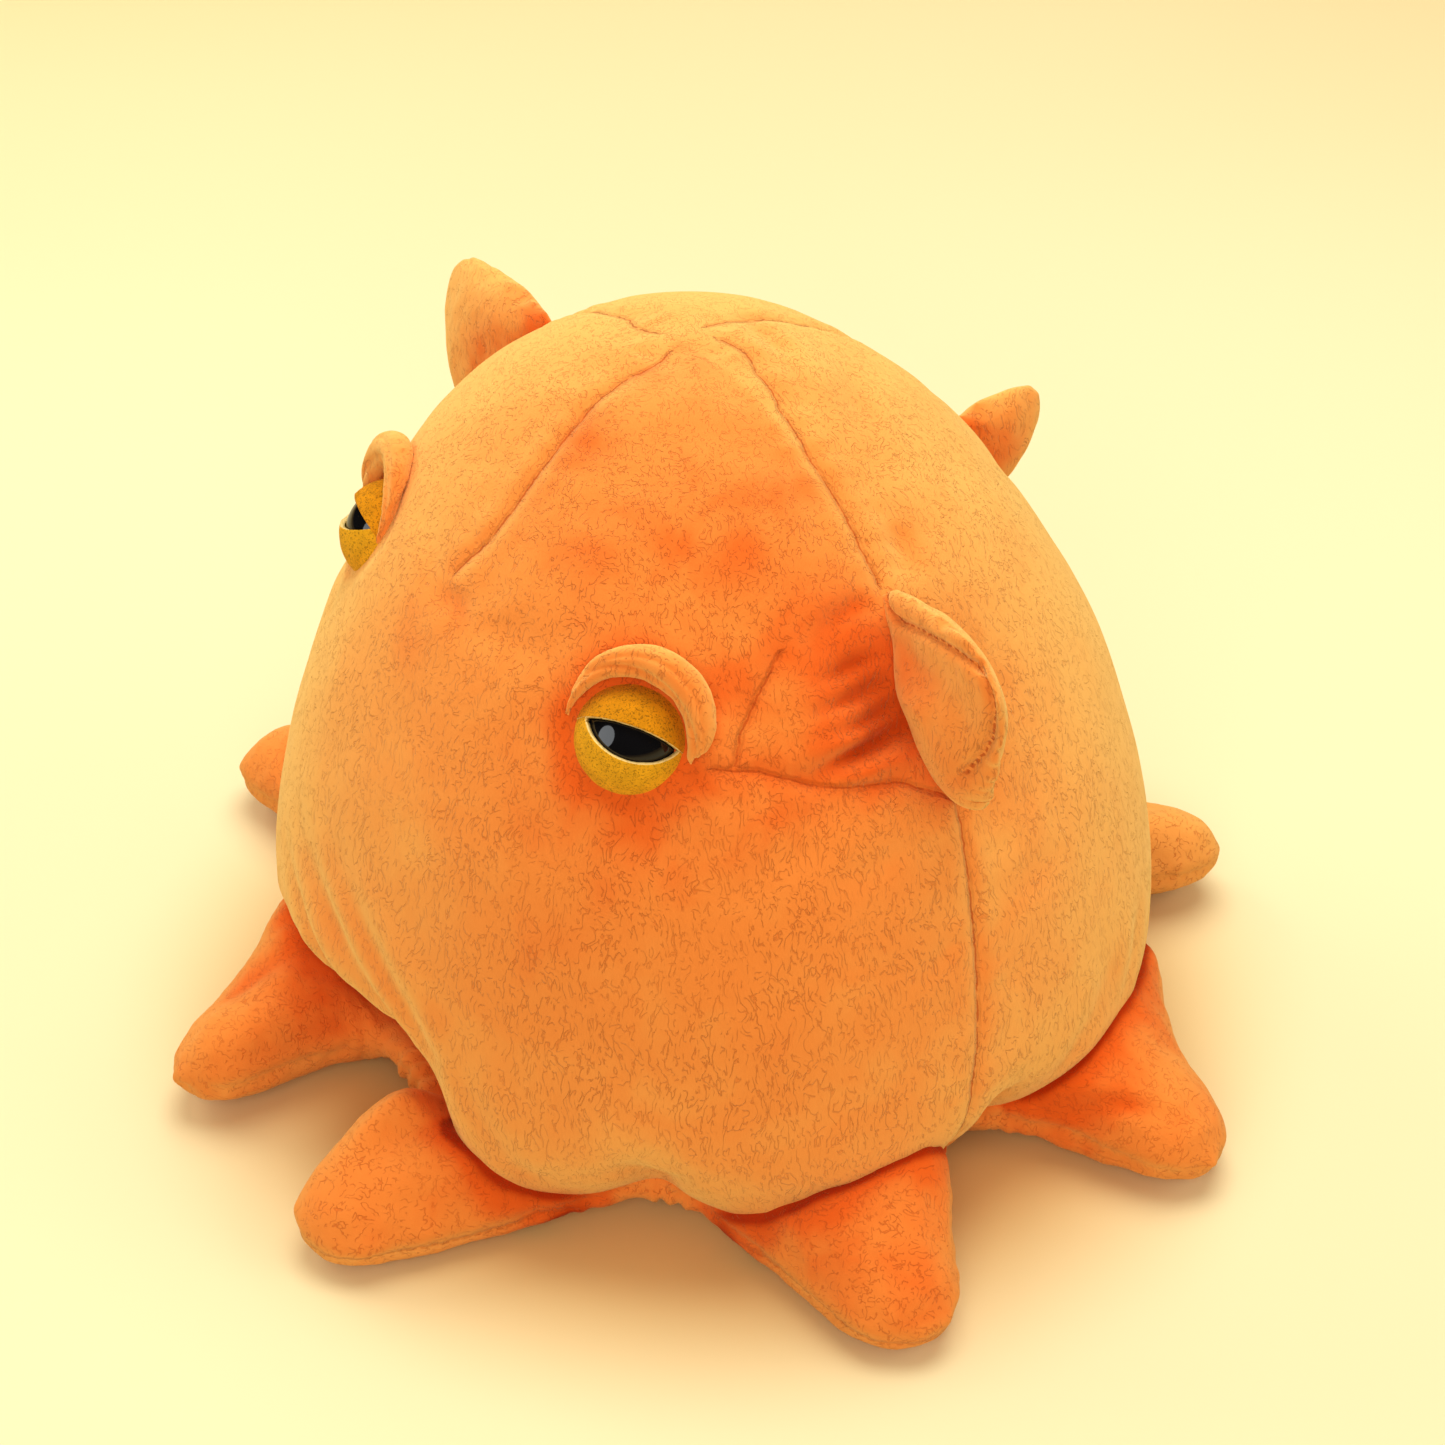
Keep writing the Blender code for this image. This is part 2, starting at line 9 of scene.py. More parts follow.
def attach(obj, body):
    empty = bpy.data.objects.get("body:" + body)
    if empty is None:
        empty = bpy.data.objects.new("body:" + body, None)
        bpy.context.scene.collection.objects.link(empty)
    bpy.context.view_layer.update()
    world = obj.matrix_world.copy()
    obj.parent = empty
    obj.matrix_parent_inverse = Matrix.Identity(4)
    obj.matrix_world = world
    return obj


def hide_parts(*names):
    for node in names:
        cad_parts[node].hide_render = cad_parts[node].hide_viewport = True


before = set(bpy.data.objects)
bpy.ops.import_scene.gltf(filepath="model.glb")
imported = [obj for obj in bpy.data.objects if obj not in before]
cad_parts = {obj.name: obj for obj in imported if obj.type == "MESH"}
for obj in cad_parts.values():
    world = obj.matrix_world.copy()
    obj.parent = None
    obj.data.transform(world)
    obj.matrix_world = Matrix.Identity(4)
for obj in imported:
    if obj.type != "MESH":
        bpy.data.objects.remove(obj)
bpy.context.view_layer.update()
scene = bpy.context.scene
sides = {"left": 1, "right": -1}


# Small tools for meshes

def link(obj):
    scene.collection.objects.link(obj)
    return obj


def meshObject(name, vertices, faces):
    mesh = bpy.data.meshes.new(name)
    mesh.from_pydata([tuple(v) for v in vertices], [], faces)
    mesh.validate()
    return link(bpy.data.objects.new(name, mesh))


def objectFrom(bm, name):
    mesh = bpy.data.meshes.new(name)
    bm.to_mesh(mesh)
    bm.free()
    return link(bpy.data.objects.new(name, mesh))


def copyNodes(name, nodeNames):
    # one new mesh from the meshes of some CAD nodes
    bm = bmesh.new()
    for nodeName in nodeNames:
        bm.from_mesh(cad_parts[nodeName].data)
    return objectFrom(bm, name)


def bake(obj):
    # turns the modifiers into plain vertices
    bpy.context.view_layer.update()
    graph = bpy.context.evaluated_depsgraph_get()
    made = bpy.data.meshes.new_from_object(obj.evaluated_get(graph))
    obj.modifiers.clear()
    obj.data = made
    return obj


def pointsOf(obj):
    co = np.empty(len(obj.data.vertices) * 3)
    obj.data.vertices.foreach_get("co", co)
    return co.reshape(-1, 3)


def normalsOf(obj):
    no = np.empty(len(obj.data.vertices) * 3, np.float32)
    obj.data.vertices.foreach_get("normal", no)
    return no.reshape(-1, 3).astype(float)


def setPoints(obj, points):
    obj.data.vertices.foreach_set("co", points.astype(np.float32).ravel())
    obj.data.update()


def remesh(obj, voxel):
    modifier = obj.modifiers.new("remesh", "REMESH")
    modifier.mode = "VOXEL"
    modifier.voxel_size = voxel
    bake(obj)
    modifier = obj.modifiers.new("smooth", "SMOOTH")
    modifier.factor = 0.5
    modifier.iterations = 2
    return bake(obj)


def smoothOut(obj, rounds, shrink=0.5, grow=-0.52):
    # evens the surface out, each step in followed by one out, so that it keeps its size
    points = pointsOf(obj)
    edges = np.empty(len(obj.data.edges) * 2, np.int32)
    obj.data.edges.foreach_get("vertices", edges)
    edges = edges.reshape(-1, 2)
    count = np.bincount(edges.ravel(), minlength=len(points))[:, None]
    for _ in range(rounds):
        for factor in (shrink, grow):
            total = np.stack([
                np.bincount(edges[:, 0], points[edges[:, 1], k], len(points))
                + np.bincount(edges[:, 1], points[edges[:, 0], k], len(points)) for k in range(3)
            ], axis=1)
            points = points + factor * (total / count - points)
    setPoints(obj, points)
    return obj


def subdivide(obj, levels):
    modifier = obj.modifiers.new("soft", "SUBSURF")
    modifier.levels = modifier.render_levels = levels
    return bake(obj)


def bell(away, width):
    # 1 at no distance, falling off softly over the width
    return np.exp(-((away / width) ** 2))


def ramp(value, start, length):
    # 0 up to the start, then rises to 1 over the length
    return np.clip((value - start) / length, 0, 1)


def softStep(value, width):
    # from 0 to 1 round zero, over the width
    return 1 / (1 + np.exp(np.clip(-value / width, -40, 40)))


def fromTable(values, table):
    keys, results = zip(*table)
    return np.interp(values, keys, results)


def bearingOf(points):
    # degrees from the face, plus toward the creature's left
    return np.degrees(np.arctan2(points[:, 0], -points[:, 1]))


def turnFrom(bearing, centre):
    # degrees from one bearing to another, -180 to 180
    return (bearing - centre + 180) % 360 - 180


def lumps(points, size, seed):
    # smooth noise from -1 to 1 at each point
    shift = Vector((seed, seed * 1.7, -seed))
    return np.array([noise.noise(Vector(p) / size + shift) for p in points])


def layered(points, layers):
    # noise in layers of depth, size and seed
    return sum(depth * lumps(points, size, seed) for depth, size, seed in layers)


def chainPieces(points, chain):
    # for each piece of a chain: its direction, the gap from it to every point, and the length so far
    line = np.array([tuple(p) for p in chain])
    travelled = 0.0
    for a, b in zip(line, line[1:]):
        length = np.linalg.norm(b - a)
        share = np.clip((points - a) @ (b - a) / max(length**2, 1e-12), 0, 1)
        yield b - a, points - a - share[:, None] * (b - a), travelled + share * length
        travelled += length


def chainField(points, chain):
    # distance to a chain of points, and the length along it up to the nearest place
    nearest, along = np.full(len(points), 1e9), np.zeros(len(points))
    for _, gap, run in chainPieces(points, chain):
        away = np.linalg.norm(gap, axis=1)
        along = np.where(away < nearest, run, along)
        nearest = np.minimum(away, nearest)
    return nearest, along


def runOut(along, share, least):
    # 1 along the middle of a line, down to the least value at its two ends
    total = max(along.max(), 1e-6)
    return np.clip(np.minimum(along, total - along) / (share * total), least, 1)


# how far the shader follows a seam, and how soon it fades
seamForm = {"reach": 0.004, "width": 0.0028}


def seamFields(points, normals, chains):
    # distance to the nearest seam, the same with a sign for its side, and the length along it
    nearest, signed = np.full(len(points), 1e9), np.full(len(points), seamForm["reach"])
    along = np.zeros(len(points))
    for chain in chains:
        for piece, gap, run in chainPieces(points, chain):
            away = np.linalg.norm(gap, axis=1)
            side = np.einsum("ij,ij->i", np.cross(np.broadcast_to(piece, points.shape), normals), gap)
            closer = away < nearest
            nearest = np.where(closer, away, nearest)
            signed = np.where(closer, np.where(side < 0, -away, away), signed)
            along = np.where(closer, run, along)
    return nearest, signed, along


clothSteps = 20


def stuff(obj, cloth, pinned):
    # fills a sewn skin: a cloth simulation under pressure, with its seams held
    rest = pointsOf(obj)
    group = obj.vertex_groups.new(name="held")
    for index, weight in enumerate(pinned):
        if weight > 0.01:
            group.add([index], float(weight), "REPLACE")
    modifier = obj.modifiers.new("stuffing", "CLOTH")
    settings = modifier.settings
    settings.quality, settings.mass = 6, 0.12
    settings.tension_stiffness = cloth["stiffness"]
    settings.compression_stiffness = settings.shear_stiffness = cloth["stiffness"] * 0.4
    settings.bending_stiffness = cloth["bending"]
    settings.use_pressure, settings.uniform_pressure_force = True, cloth["pressure"]
    settings.shrink_min = -cloth["slack"]
    settings.vertex_group_mass = "held"
    settings.effector_weights.gravity = 0.0
    modifier.collision_settings.use_collision = False
    modifier.point_cache.frame_start, modifier.point_cache.frame_end = 1, clothSteps
    for step in range(1, clothSteps + 1):
        scene.frame_set(step)
    bake(obj)
    moved = pointsOf(obj) - rest
    length = np.linalg.norm(moved, axis=1)
    most = cloth["most"]
    moved *= (most * np.tanh(length / most) / np.maximum(length, 1e-9))[:, None]
    setPoints(obj, rest + moved)
    scene.frame_set(1)
    print("stuffed", obj.name, "moved up to", round(float(length.max()) * 1000, 1), "mm")


def giveAttribute(obj, name, values):
    attribute = obj.data.attributes.new(name, "FLOAT", "POINT")
    attribute.data.foreach_set("value", np.asarray(values, np.float32))


def giveSeam(obj, signed, near, along):
    # what the stitch shader reads, lengths in mm
    reach = seamForm["reach"]
    giveAttribute(obj, "seamAway", np.clip(signed, -reach, reach) * 1000)
    giveAttribute(obj, "seamNear", near)
    giveAttribute(obj, "seamAlong", along * 1000)


def finishPiece(obj, materials, nodes):
    obj.data.materials.clear()
    for material in materials:
        obj.data.materials.append(material)
    obj.data.shade_smooth()
    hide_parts(*nodes)
    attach(obj, "root")


# The body's skin, as the CAD part shapes it

skinForm = {
    "height": 0.206, "bellyRadius": 0.1195, "bellyHeight": 0.040, "tuckHeight": 0.046, "tuckCurve": 1.3,
    "baseRadius": 0.0905, "baseHeight": 0.0123, "flatness": 1.75, "fullness": 2.1, "lean": (-0.0145, 0.001),
}


def domeRadius(height):
    low = skinForm["bellyHeight"]
    rise = np.clip((height - low) / (skinForm["height"] - low), 0, 1)
    return skinForm["bellyRadius"] * (1 - rise ** skinForm["flatness"]) ** (1 / skinForm["fullness"])


def skinRadius(height):
    tuck, base = skinForm["tuckHeight"], skinForm["baseHeight"]
    drop = np.clip((tuck - height) / (tuck - base), 0, 1)
    foot = skinForm["baseRadius"]
    tucked = foot + (domeRadius(tuck) - foot) * (1 - drop ** skinForm["tuckCurve"])
    return np.where(height >= tuck, domeRadius(height), tucked)


def outward(bearing):
    return Vector((sin(radians(bearing)), -cos(radians(bearing)), 0.0))


def leanAt(height):
    base = skinForm["baseHeight"]
    share = max(0.0, (height - base) / (skinForm["height"] - base)) ** 2
    return Vector((skinForm["lean"][0] * share, skinForm["lean"][1] * share, 0.0))


def placeAt(bearing, height, radius):
    point = outward(bearing) * float(radius) + leanAt(height)
    point.z = height
    return point


def skin(bearing, height):
    return placeAt(bearing, height, skinRadius(height))


# how the stuffed body settles on the skirt: bearing, height where the tuck starts and foot radius in mm,
# and the tuck's curve (over 1 is full, under 1 is pinched in)
settledFoot = [
    (-60, 46, 94, 1.5), (-42, 46, 107, 1.8), (-34, 50, 102, 1.4), (-22, 58, 92, 0.95), (-11, 62, 86, 0.8),
    (-2, 66, 88, 0.72), (6, 66, 95, 0.70), (10.5, 62, 102, 0.80), (13.5, 54, 109, 1.5), (22, 44, 109, 2.2),
    (33, 44, 102, 1.8), (42, 47, 87, 1.1), (49, 44, 102, 1.8), (56, 43, 109, 1.85), (66, 43, 110, 1.9),
    (76, 44, 106, 1.8), (86, 46, 98, 1.5), (92, 47, 87, 1.1), (100, 44, 98, 1.6), (107, 44, 105, 1.8),
    (118, 42, 112, 2.2), (131, 42, 113, 2.2), (150, 46, 93, 1.5), (160, 44, 111, 2.2), (176, 44, 108, 2.0),
    (191, 46, 93, 1.5), (205, 44, 111, 2.2), (232, 46, 93, 1.5), (249, 44, 111, 2.2), (270, 46, 93, 1.5),
    (284, 44, 110, 2.2),
]


def settledRadius(bearing, height):
    table = np.array(sorted((b % 360, *rest) for b, *rest in settledFoot))
    start, foot, curve = (
        np.interp(np.asarray(bearing) % 360, table[:, 0], table[:, i], period=360) for i in (1, 2, 3)
    )
    start, foot = start / 1000, foot / 1000
    drop = np.clip((start - height) / (start - skinForm["baseHeight"]), 0, 1)
    pinch = np.clip(drop / np.minimum(curve, 1), 0, 1)
    share = np.where(curve >= 1, drop ** np.maximum(curve, 1), pinch * pinch * (3 - 2 * pinch))
    return np.where(height >= start, domeRadius(height), foot + (domeRadius(start) - foot) * (1 - share))


def settledSkin(bearing, height):
    return placeAt(bearing, height, settledRadius(bearing, height))


def skinNormal(bearing, height):
    up = skin(bearing, height + 0.0005) - skin(bearing, height - 0.0005)
    around = skin(bearing + 0.5, height) - skin(bearing - 0.5, height)
    return around.cross(up).normalized()


def skinChain(places, steps=6):
    # a line on the skin through (bearing, height in mm) places
    chain = []
    for (b0, h0), (b1, h1) in zip(places, places[1:]):
        for i in range(steps):
            share = i / steps
            chain.append(settledSkin(b0 + (b1 - b0) * share, (h0 + (h1 - h0) * share) / 1000))
    return chain + [settledSkin(places[-1][0], places[-1][1] / 1000)]


# Eyes: where they sit, as the CAD part has them

eyePlace = {
    "left": {"bearing": 39.5, "height": 0.1475}, "right": {"bearing": 37.5, "height": 0.1550},
    "sink": 0.006, "ball": 0.0126, "gap": 0.0003, "felt": 0.0013, "back": 0.004,
}


def eyeFrame(side):
    bearing, height = sides[side] * eyePlace[side]["bearing"], eyePlace[side]["height"]
    out = skinNormal(bearing, height)
    across = Vector((0, 0, 1)).cross(out).normalized()
    turn = Matrix((across, out.cross(across), out)).transposed().to_4x4()
    return Matrix.Translation(skin(bearing, height) - out * eyePlace["sink"]) @ turn


# Materials

def nodeGroup(name, inputs, outputs):
    group = bpy.data.node_groups.new(name, "ShaderNodeTree")
    for label, kind, value in inputs:
        socket = group.interface.new_socket(name=label, in_out="INPUT", socket_type=kind)
        socket.default_value = value
    for label, kind in outputs:
        group.interface.new_socket(name=label, in_out="OUTPUT", socket_type=kind)
    return group, group.nodes.new("NodeGroupInput"), group.nodes.new("NodeGroupOutput")


def node(tree, kind, values=None, **settings):
    made = tree.nodes.new(kind)
    for key, value in settings.items():
        setattr(made, key, value)
    for key, value in (values or {}).items():
        if isinstance(value, bpy.types.NodeSocket):
            tree.links.new(value, made.inputs[key])
        else:
            made.inputs[key].default_value = value
    return made


def math(tree, operation, a, b=0.5, clamp=False):
    return node(tree, "ShaderNodeMath", {0: a, 1: b}, operation=operation, use_clamp=clamp).outputs[0]


def times(tree, a, b, clamp=False):
    return math(tree, "MULTIPLY", a, b, clamp)


def vector(tree, operation, values, output=0):
    return node(tree, "ShaderNodeVectorMath", values, operation=operation).outputs[output]


def spread(tree, value, low, high, toLow=0.0, toHigh=1.0):
    values = {"Value": value, "From Min": low, "From Max": high, "To Min": toLow, "To Max": toHigh}
    return node(tree, "ShaderNodeMapRange", values, interpolation_type="SMOOTHSTEP").outputs[0]


def mixColour(tree, factor, a, b, blend="MIX"):
    mix = node(tree, "ShaderNodeMix", data_type="RGBA", blend_type=blend)
    for socket, value in ((mix.inputs[0], factor), (mix.inputs[6], a), (mix.inputs[7], b)):
        if isinstance(value, bpy.types.NodeSocket):
            tree.links.new(value, socket)
        else:
            socket.default_value = value
    return mix.outputs[2]


def noiseAt(tree, place, scale, detail=2.0, roughness=0.5, distortion=0.0):
    return node(tree, "ShaderNodeTexNoise", {
        "Vector": place, "Scale": scale, "Detail": detail, "Roughness": roughness, "Distortion": distortion,
    }).outputs["Fac"]


def newMaterial(name):
    material = bpy.data.materials.new(name)
    material.use_nodes = True
    tree = material.node_tree
    return material, tree, tree.nodes["Principled BSDF"]


def setShader(tree, shader, colour, height, strength, distance, values):
    # colour and bump from nodes, and the shader's plain values
    bump = node(tree, "ShaderNodeBump", {"Strength": strength, "Distance": distance, "Height": height})
    tree.links.new(colour, shader.inputs["Base Color"])
    tree.links.new(bump.outputs[0], shader.inputs["Normal"])
    for key, value in values.items():
        shader.inputs[key].default_value = value


def makePileGroup():
    # short brushed pile: fine grain, thin dark partings that follow the nap, and softer patches
    group, given, result = nodeGroup(
        "shortPile",
        [
            ("Grain", "NodeSocketFloat", 2400.0), ("Stroke", "NodeSocketFloat", 620.0),
            ("Stretch", "NodeSocketVector", (1, 1, 0.4)),
        ],
        [(label, "NodeSocketFloat") for label in ("Partings", "Height", "Nap")],
    )
    place = node(group, "ShaderNodeTexCoord").outputs["Object"]
    swirl = node(group, "ShaderNodeTexNoise", {"Vector": place, "Scale": 75.0, "Detail": 2.0})
    swirl = vector(group, "SUBTRACT", {0: swirl.outputs["Color"], 1: (0.5, 0.5, 0.5)})
    swirl = vector(group, "SCALE", {0: swirl, "Scale": 0.0080})
    bent = vector(group, "ADD", {0: place, 1: swirl})
    along = vector(group, "MULTIPLY", {0: bent, 1: given.outputs["Stretch"]})
    stroke = given.outputs["Stroke"]
    grain = noiseAt(group, along, given.outputs["Grain"], 2.0, 0.6)
    ridge = math(group, "SUBTRACT", noiseAt(group, along, stroke, 1.0, 0.35, 0.15), 0.5)
    line = spread(group, math(group, "ABSOLUTE", ridge), 0.006, 0.042, 1.0, 0.0)
    broken = spread(group, noiseAt(group, along, times(group, stroke, 0.75), 1.0), 0.44, 0.53)
    area = spread(group, noiseAt(group, place, 38.0), 0.36, 0.62, 0.60, 1.0)
    parting = times(group, times(group, line, broken), area)
    nap = noiseAt(group, place, 50.0, 3.0, 0.5, 0.6)
    tuft = noiseAt(group, along, times(group, stroke, 0.55))
    height = math(group, "ADD", times(group, grain, 0.25), times(group, tuft, 0.55))
    height = math(group, "SUBTRACT", height, times(group, parting, 0.80))
    for socket, value in zip(result.inputs, (parting, height, nap)):
        group.links.new(value, socket)
    return group


def makeStitchGroup():
    # a thin sewn line: a dip with broken dark stitches in it, a little wavy
    group, given, result = nodeGroup(
        "sewnLine",
        [(label, "NodeSocketFloat", 0.0) for label in ("Away", "Near", "Along")],
        [("Line", "NodeSocketFloat"), ("Dip", "NodeSocketFloat")],
    )
    place = node(group, "ShaderNodeTexCoord").outputs["Object"]
    wobble = math(group, "SUBTRACT", noiseAt(group, place, 420.0), 0.5)
    away = math(group, "ADD", given.outputs["Away"], times(group, wobble, 1.1))
    away = math(group, "ABSOLUTE", away)
    close = spread(group, given.outputs["Near"], 0.45, 0.75)
    thin = times(group, spread(group, away, 0.12, 0.42, 1.0, 0.0), close)
    wide = times(group, spread(group, away, 0.1, 1.3, 1.0, 0.0), close)
    stitchLength = 2.9  # mm
    beat = math(group, "SINE", times(group, given.outputs["Along"], 2 * pi / stitchLength))
    chance = math(group, "ADD", beat, times(group, noiseAt(group, place, 300.0, 1.0), 3.0))
    dash = spread(group, chance, 0.6, 1.4)
    group.links.new(times(group, thin, dash), result.inputs["Line"])
    group.links.new(wide, result.inputs["Dip"])
    return group


pileGroup = makePileGroup()
stitchGroup = makeStitchGroup()

# plush colours by tone: the darkest one shows painted shade, where the tone falls below zero, and rim is a
# painted sheen at grazing angles
plushColours = {
    "creaseShade": (0.42, 0.030, 0.002, 1),
    "deep": (0.80, 0.120, 0.012, 1), "middle": (0.86, 0.245, 0.040, 1), "light": (0.90, 0.36, 0.075, 1),
    "rim": (1.0, 0.62, 0.17, 1), "parting": (0.58, 0.085, 0.010, 1), "stitch": (0.45, 0.06, 0.008, 1),
}


def plush(name, look):
    material, tree, shader = newMaterial(name)
    pile = node(tree, "ShaderNodeGroup", node_tree=pileGroup)
    stitched = node(tree, "ShaderNodeGroup", node_tree=stitchGroup)
    for socket in ("Grain", "Stroke", "Stretch"):
        pile.inputs[socket].default_value = look[socket.lower()]
    for socket in ("Away", "Near", "Along"):
        measure = node(tree, "ShaderNodeAttribute", attribute_name="seam" + socket)
        tree.links.new(measure.outputs["Fac"], stitched.inputs[socket])
    tone = node(tree, "ShaderNodeAttribute", attribute_name="tone").outputs["Fac"]
    patch = spread(tree, pile.outputs["Nap"], 0.3, 0.7, -0.10, 0.10)
    level = math(tree, "ADD", tone, patch)
    # the tone carries painted shade, and below zero the colour runs to the darkest one
    colour = plushColours["creaseShade"]
    for low, high, shade in ((-0.9, 0.0, "deep"), (0.0, 0.5, "middle"), (0.5, 1.0, "light")):
        colour = mixColour(tree, spread(tree, level, low, high), colour, plushColours[shade])
    # painted sheen: the colour pales toward grazing angles, less where the tone is deep
    facing = node(tree, "ShaderNodeLayerWeight", {"Blend": 0.5}).outputs["Facing"]
    rim = times(tree, math(tree, "POWER", facing, look["sheenFall"]), look["rim"], clamp=True)
    rim = times(tree, rim, spread(tree, level, -0.6, 0.45))
    colour = mixColour(tree, rim, colour, plushColours["rim"])
    dark = times(tree, pile.outputs["Partings"], look["partingDark"])
    dark = times(tree, dark, math(tree, "SUBTRACT", 1.1, rim))
    colour = mixColour(tree, dark, colour, plushColours["parting"])
    sewn = times(tree, stitched.outputs["Line"], look["stitchDark"])
    colour = mixColour(tree, sewn, colour, plushColours["stitch"])
    height = math(tree, "SUBTRACT", pile.outputs["Height"], times(tree, stitched.outputs["Dip"], 1.6))
    setShader(tree, shader, colour, height, look["bump"], 0.0007, {
        "Roughness": 0.95, "Specular IOR Level": 0.12, "Sheen Weight": look["sheen"], "Sheen Roughness": 0.4,
        "Sheen Tint": (1.0, 0.70, 0.32, 1),
    })
    return material


# rim and its fall set how strongly the painted sheen pales the colour at grazing angles
bodyPlush = plush("bodyPlush", {
    "grain": 2400.0, "stroke": 760.0, "stretch": (1, 1, 0.32), "partingDark": 0.25, "stitchDark": 0.75,
    "bump": 0.7, "sheen": 0.30, "rim": 1.0, "sheenFall": 1.35,
})
armPlush = plush("armPlush", {
    "grain": 2000.0, "stroke": 560.0, "stretch": (1, 1, 1), "partingDark": 0.38, "stitchDark": 0.35,
    "bump": 0.6, "sheen": 0.16, "rim": 0.42, "sheenFall": 1.5,
})


def lighter(colour, gain):
    return tuple(c * gain for c in colour[:3]) + (1,)


def feltMaterial(name, base, pit):
    material, tree, shader = newMaterial(name)
    place = node(tree, "ShaderNodeTexCoord").outputs["Object"]
    fibre = noiseAt(tree, place, 1700.0, 4.0, 0.65, 1.2)
    cloud = noiseAt(tree, place, 260.0)
    dots = spread(tree, noiseAt(tree, place, 1900.0, 1.0, 0.5, 1.0), 0.53, 0.66)
    colour = mixColour(tree, spread(tree, cloud, 0.3, 0.7), base, lighter(base, 1.18))
    colour = mixColour(tree, times(tree, dots, 0.6), colour, pit)
    height = math(tree, "SUBTRACT", fibre, times(tree, dots, 0.5))
    setShader(tree, shader, colour, height, 0.6, 0.0004, {
        "Roughness": 0.95, "Specular IOR Level": 0.15, "Sheen Weight": 0.08, "Sheen Tint": (1.0, 0.8, 0.2, 1),
    })
    return material


upperFelt = feltMaterial("ochreFeltUpper", (0.66, 0.255, 0.005, 1), (0.14, 0.055, 0.002, 1))
lowerFelt = feltMaterial("ochreFeltLower", (0.76, 0.37, 0.011, 1), (0.26, 0.11, 0.003, 1))
feltEdge = feltMaterial("feltCutEdge", (0.90, 0.66, 0.25, 1), (0.7, 0.45, 0.1, 1))


def plasticMaterial(name, colour, roughness, waviness):
    material, tree, shader = newMaterial(name)
    place = node(tree, "ShaderNodeTexCoord").outputs["Object"]
    haze = noiseAt(tree, place, 140.0, 3.0)
    tree.links.new(spread(tree, haze, 0.3, 0.8, roughness * 0.7, roughness * 1.5), shader.inputs["Roughness"])
    setShader(tree, shader, mixColour(tree, haze, colour, lighter(colour, 1.4)), haze, waviness, 0.0002, {})
    return material


eyeGloss = plasticMaterial("eyeGloss", (0.004, 0.004, 0.005, 1), 0.05, 0.05)
washerPlastic = plasticMaterial("washerPlastic", (0.62, 0.62, 0.6, 1), 0.4, 0.2)


# Body

seamPlaces = [
    [(133.8, 205.5), (107.4, 203.1), (96.6, 199.1), (92.3, 192.5), (91.3, 184.4), (90.3, 177.6), (90, 170.4)],
    [(90, 125), (89.1, 124.1), (88.3, 112.6), (87.2, 95.7), (85.8, 75.4), (84.9, 61.7), (84, 51.9), (84, 20)],
    [(-60, 205.8), (-85, 204), (-91, 198), (-92, 185), (-90, 176)],
    [(-90, 131), (-89, 112), (-88, 90), (-87, 60), (-86, 20)],
    [(30, 205.6), (10.3, 203.7), (6.1, 201.1), (6.2, 196.2), (5, 187.3), (2.7, 176.4), (-1.5, 167.9)],
    [(180, 205.6), (179, 200), (180, 185), (181, 150), (180, 100), (180, 50), (180, 20)],
    [(53, 142.1), (59.7, 141.1), (69.8, 135.6), (80.7, 132.9), (89, 125)],
    [(56, 142.5), (57.5, 149), (61, 156), (66, 163)],
    [(-51, 149), (-58, 147.5), (-69.8, 142), (-80.7, 139), (-89, 131)],
    [(-56, 148.5), (-56, 155.5), (-57.5, 162)],
]
creases = [  # places, width and depth in mm
    ([(73.8, 164.5), (78.5, 166.9), (83.2, 168), (88.4, 168.2)], 3.0, 1.5),
    ([(89, 143.0), (84, 142.3), (78.4, 141.6), (73, 140.6), (66, 139.0)], 2.6, 3.4),
    ([(88, 148), (78.5, 146.8), (70, 145.5)], 1.9, 1.7),
    ([(87, 153), (78, 152.0), (68, 150.8)], 1.9, 1.4),
    ([(87, 158.5), (80, 158.4), (71, 156.5)], 1.8, 1.2),
    ([(176.6, 203.4), (150, 203.2), (129.5, 201.9)], 3.5, 1.3),
    ([(154.6, 194.6), (129.1, 194.3), (111.3, 192)], 6.0, 1.2),
    ([(103.7, 177.5), (96.4, 172.5)], 4.0, 1.3),
    ([(-5.6, 161.5), (2, 162.2), (8.9, 160.7)], 4.0, 0.8),
    ([(-6, 92), (3, 78), (9, 68), (13, 57.2), (12, 42)], 4.5, 2.0),
    ([(-18, 90), (-8, 78), (1, 68), (6, 57), (6, 42)], 4.5, 1.9),
    ([(-24, 78), (-16, 68), (-9, 58), (-6, 46)], 4.0, 1.5),
    ([(16, 62), (20, 48), (24, 34), (30, 24)], 5.0, 1.0),
    ([(112, 60), (104, 44), (99, 30)], 5.0, 1.0),
    ([(124, 66), (118, 48), (112, 34)], 5.0, 1.0),
    ([(-73.8, 168), (-78.5, 171), (-86, 173)], 3.0, 1.3),
    ([(-87, 149), (-78.4, 148.6), (-70, 147.5)], 3.2, 1.8),
    ([(104, 140), (98, 139), (92, 138)], 3.5, 1.2),
    ([(172, 139), (176, 138), (179, 136)], 3.0, 1.2),
    ([(110, 62), (112, 50), (109, 38)], 6.0, 1.0),
    ([(38, 40), (41, 30), (41.5, 22)], 5.0, 1.4),
    ([(47, 38), (44, 28), (42.5, 20)], 4.0, 1.1),
    ([(88, 42), (92, 32), (92.5, 22)], 5.0, 1.5),
]
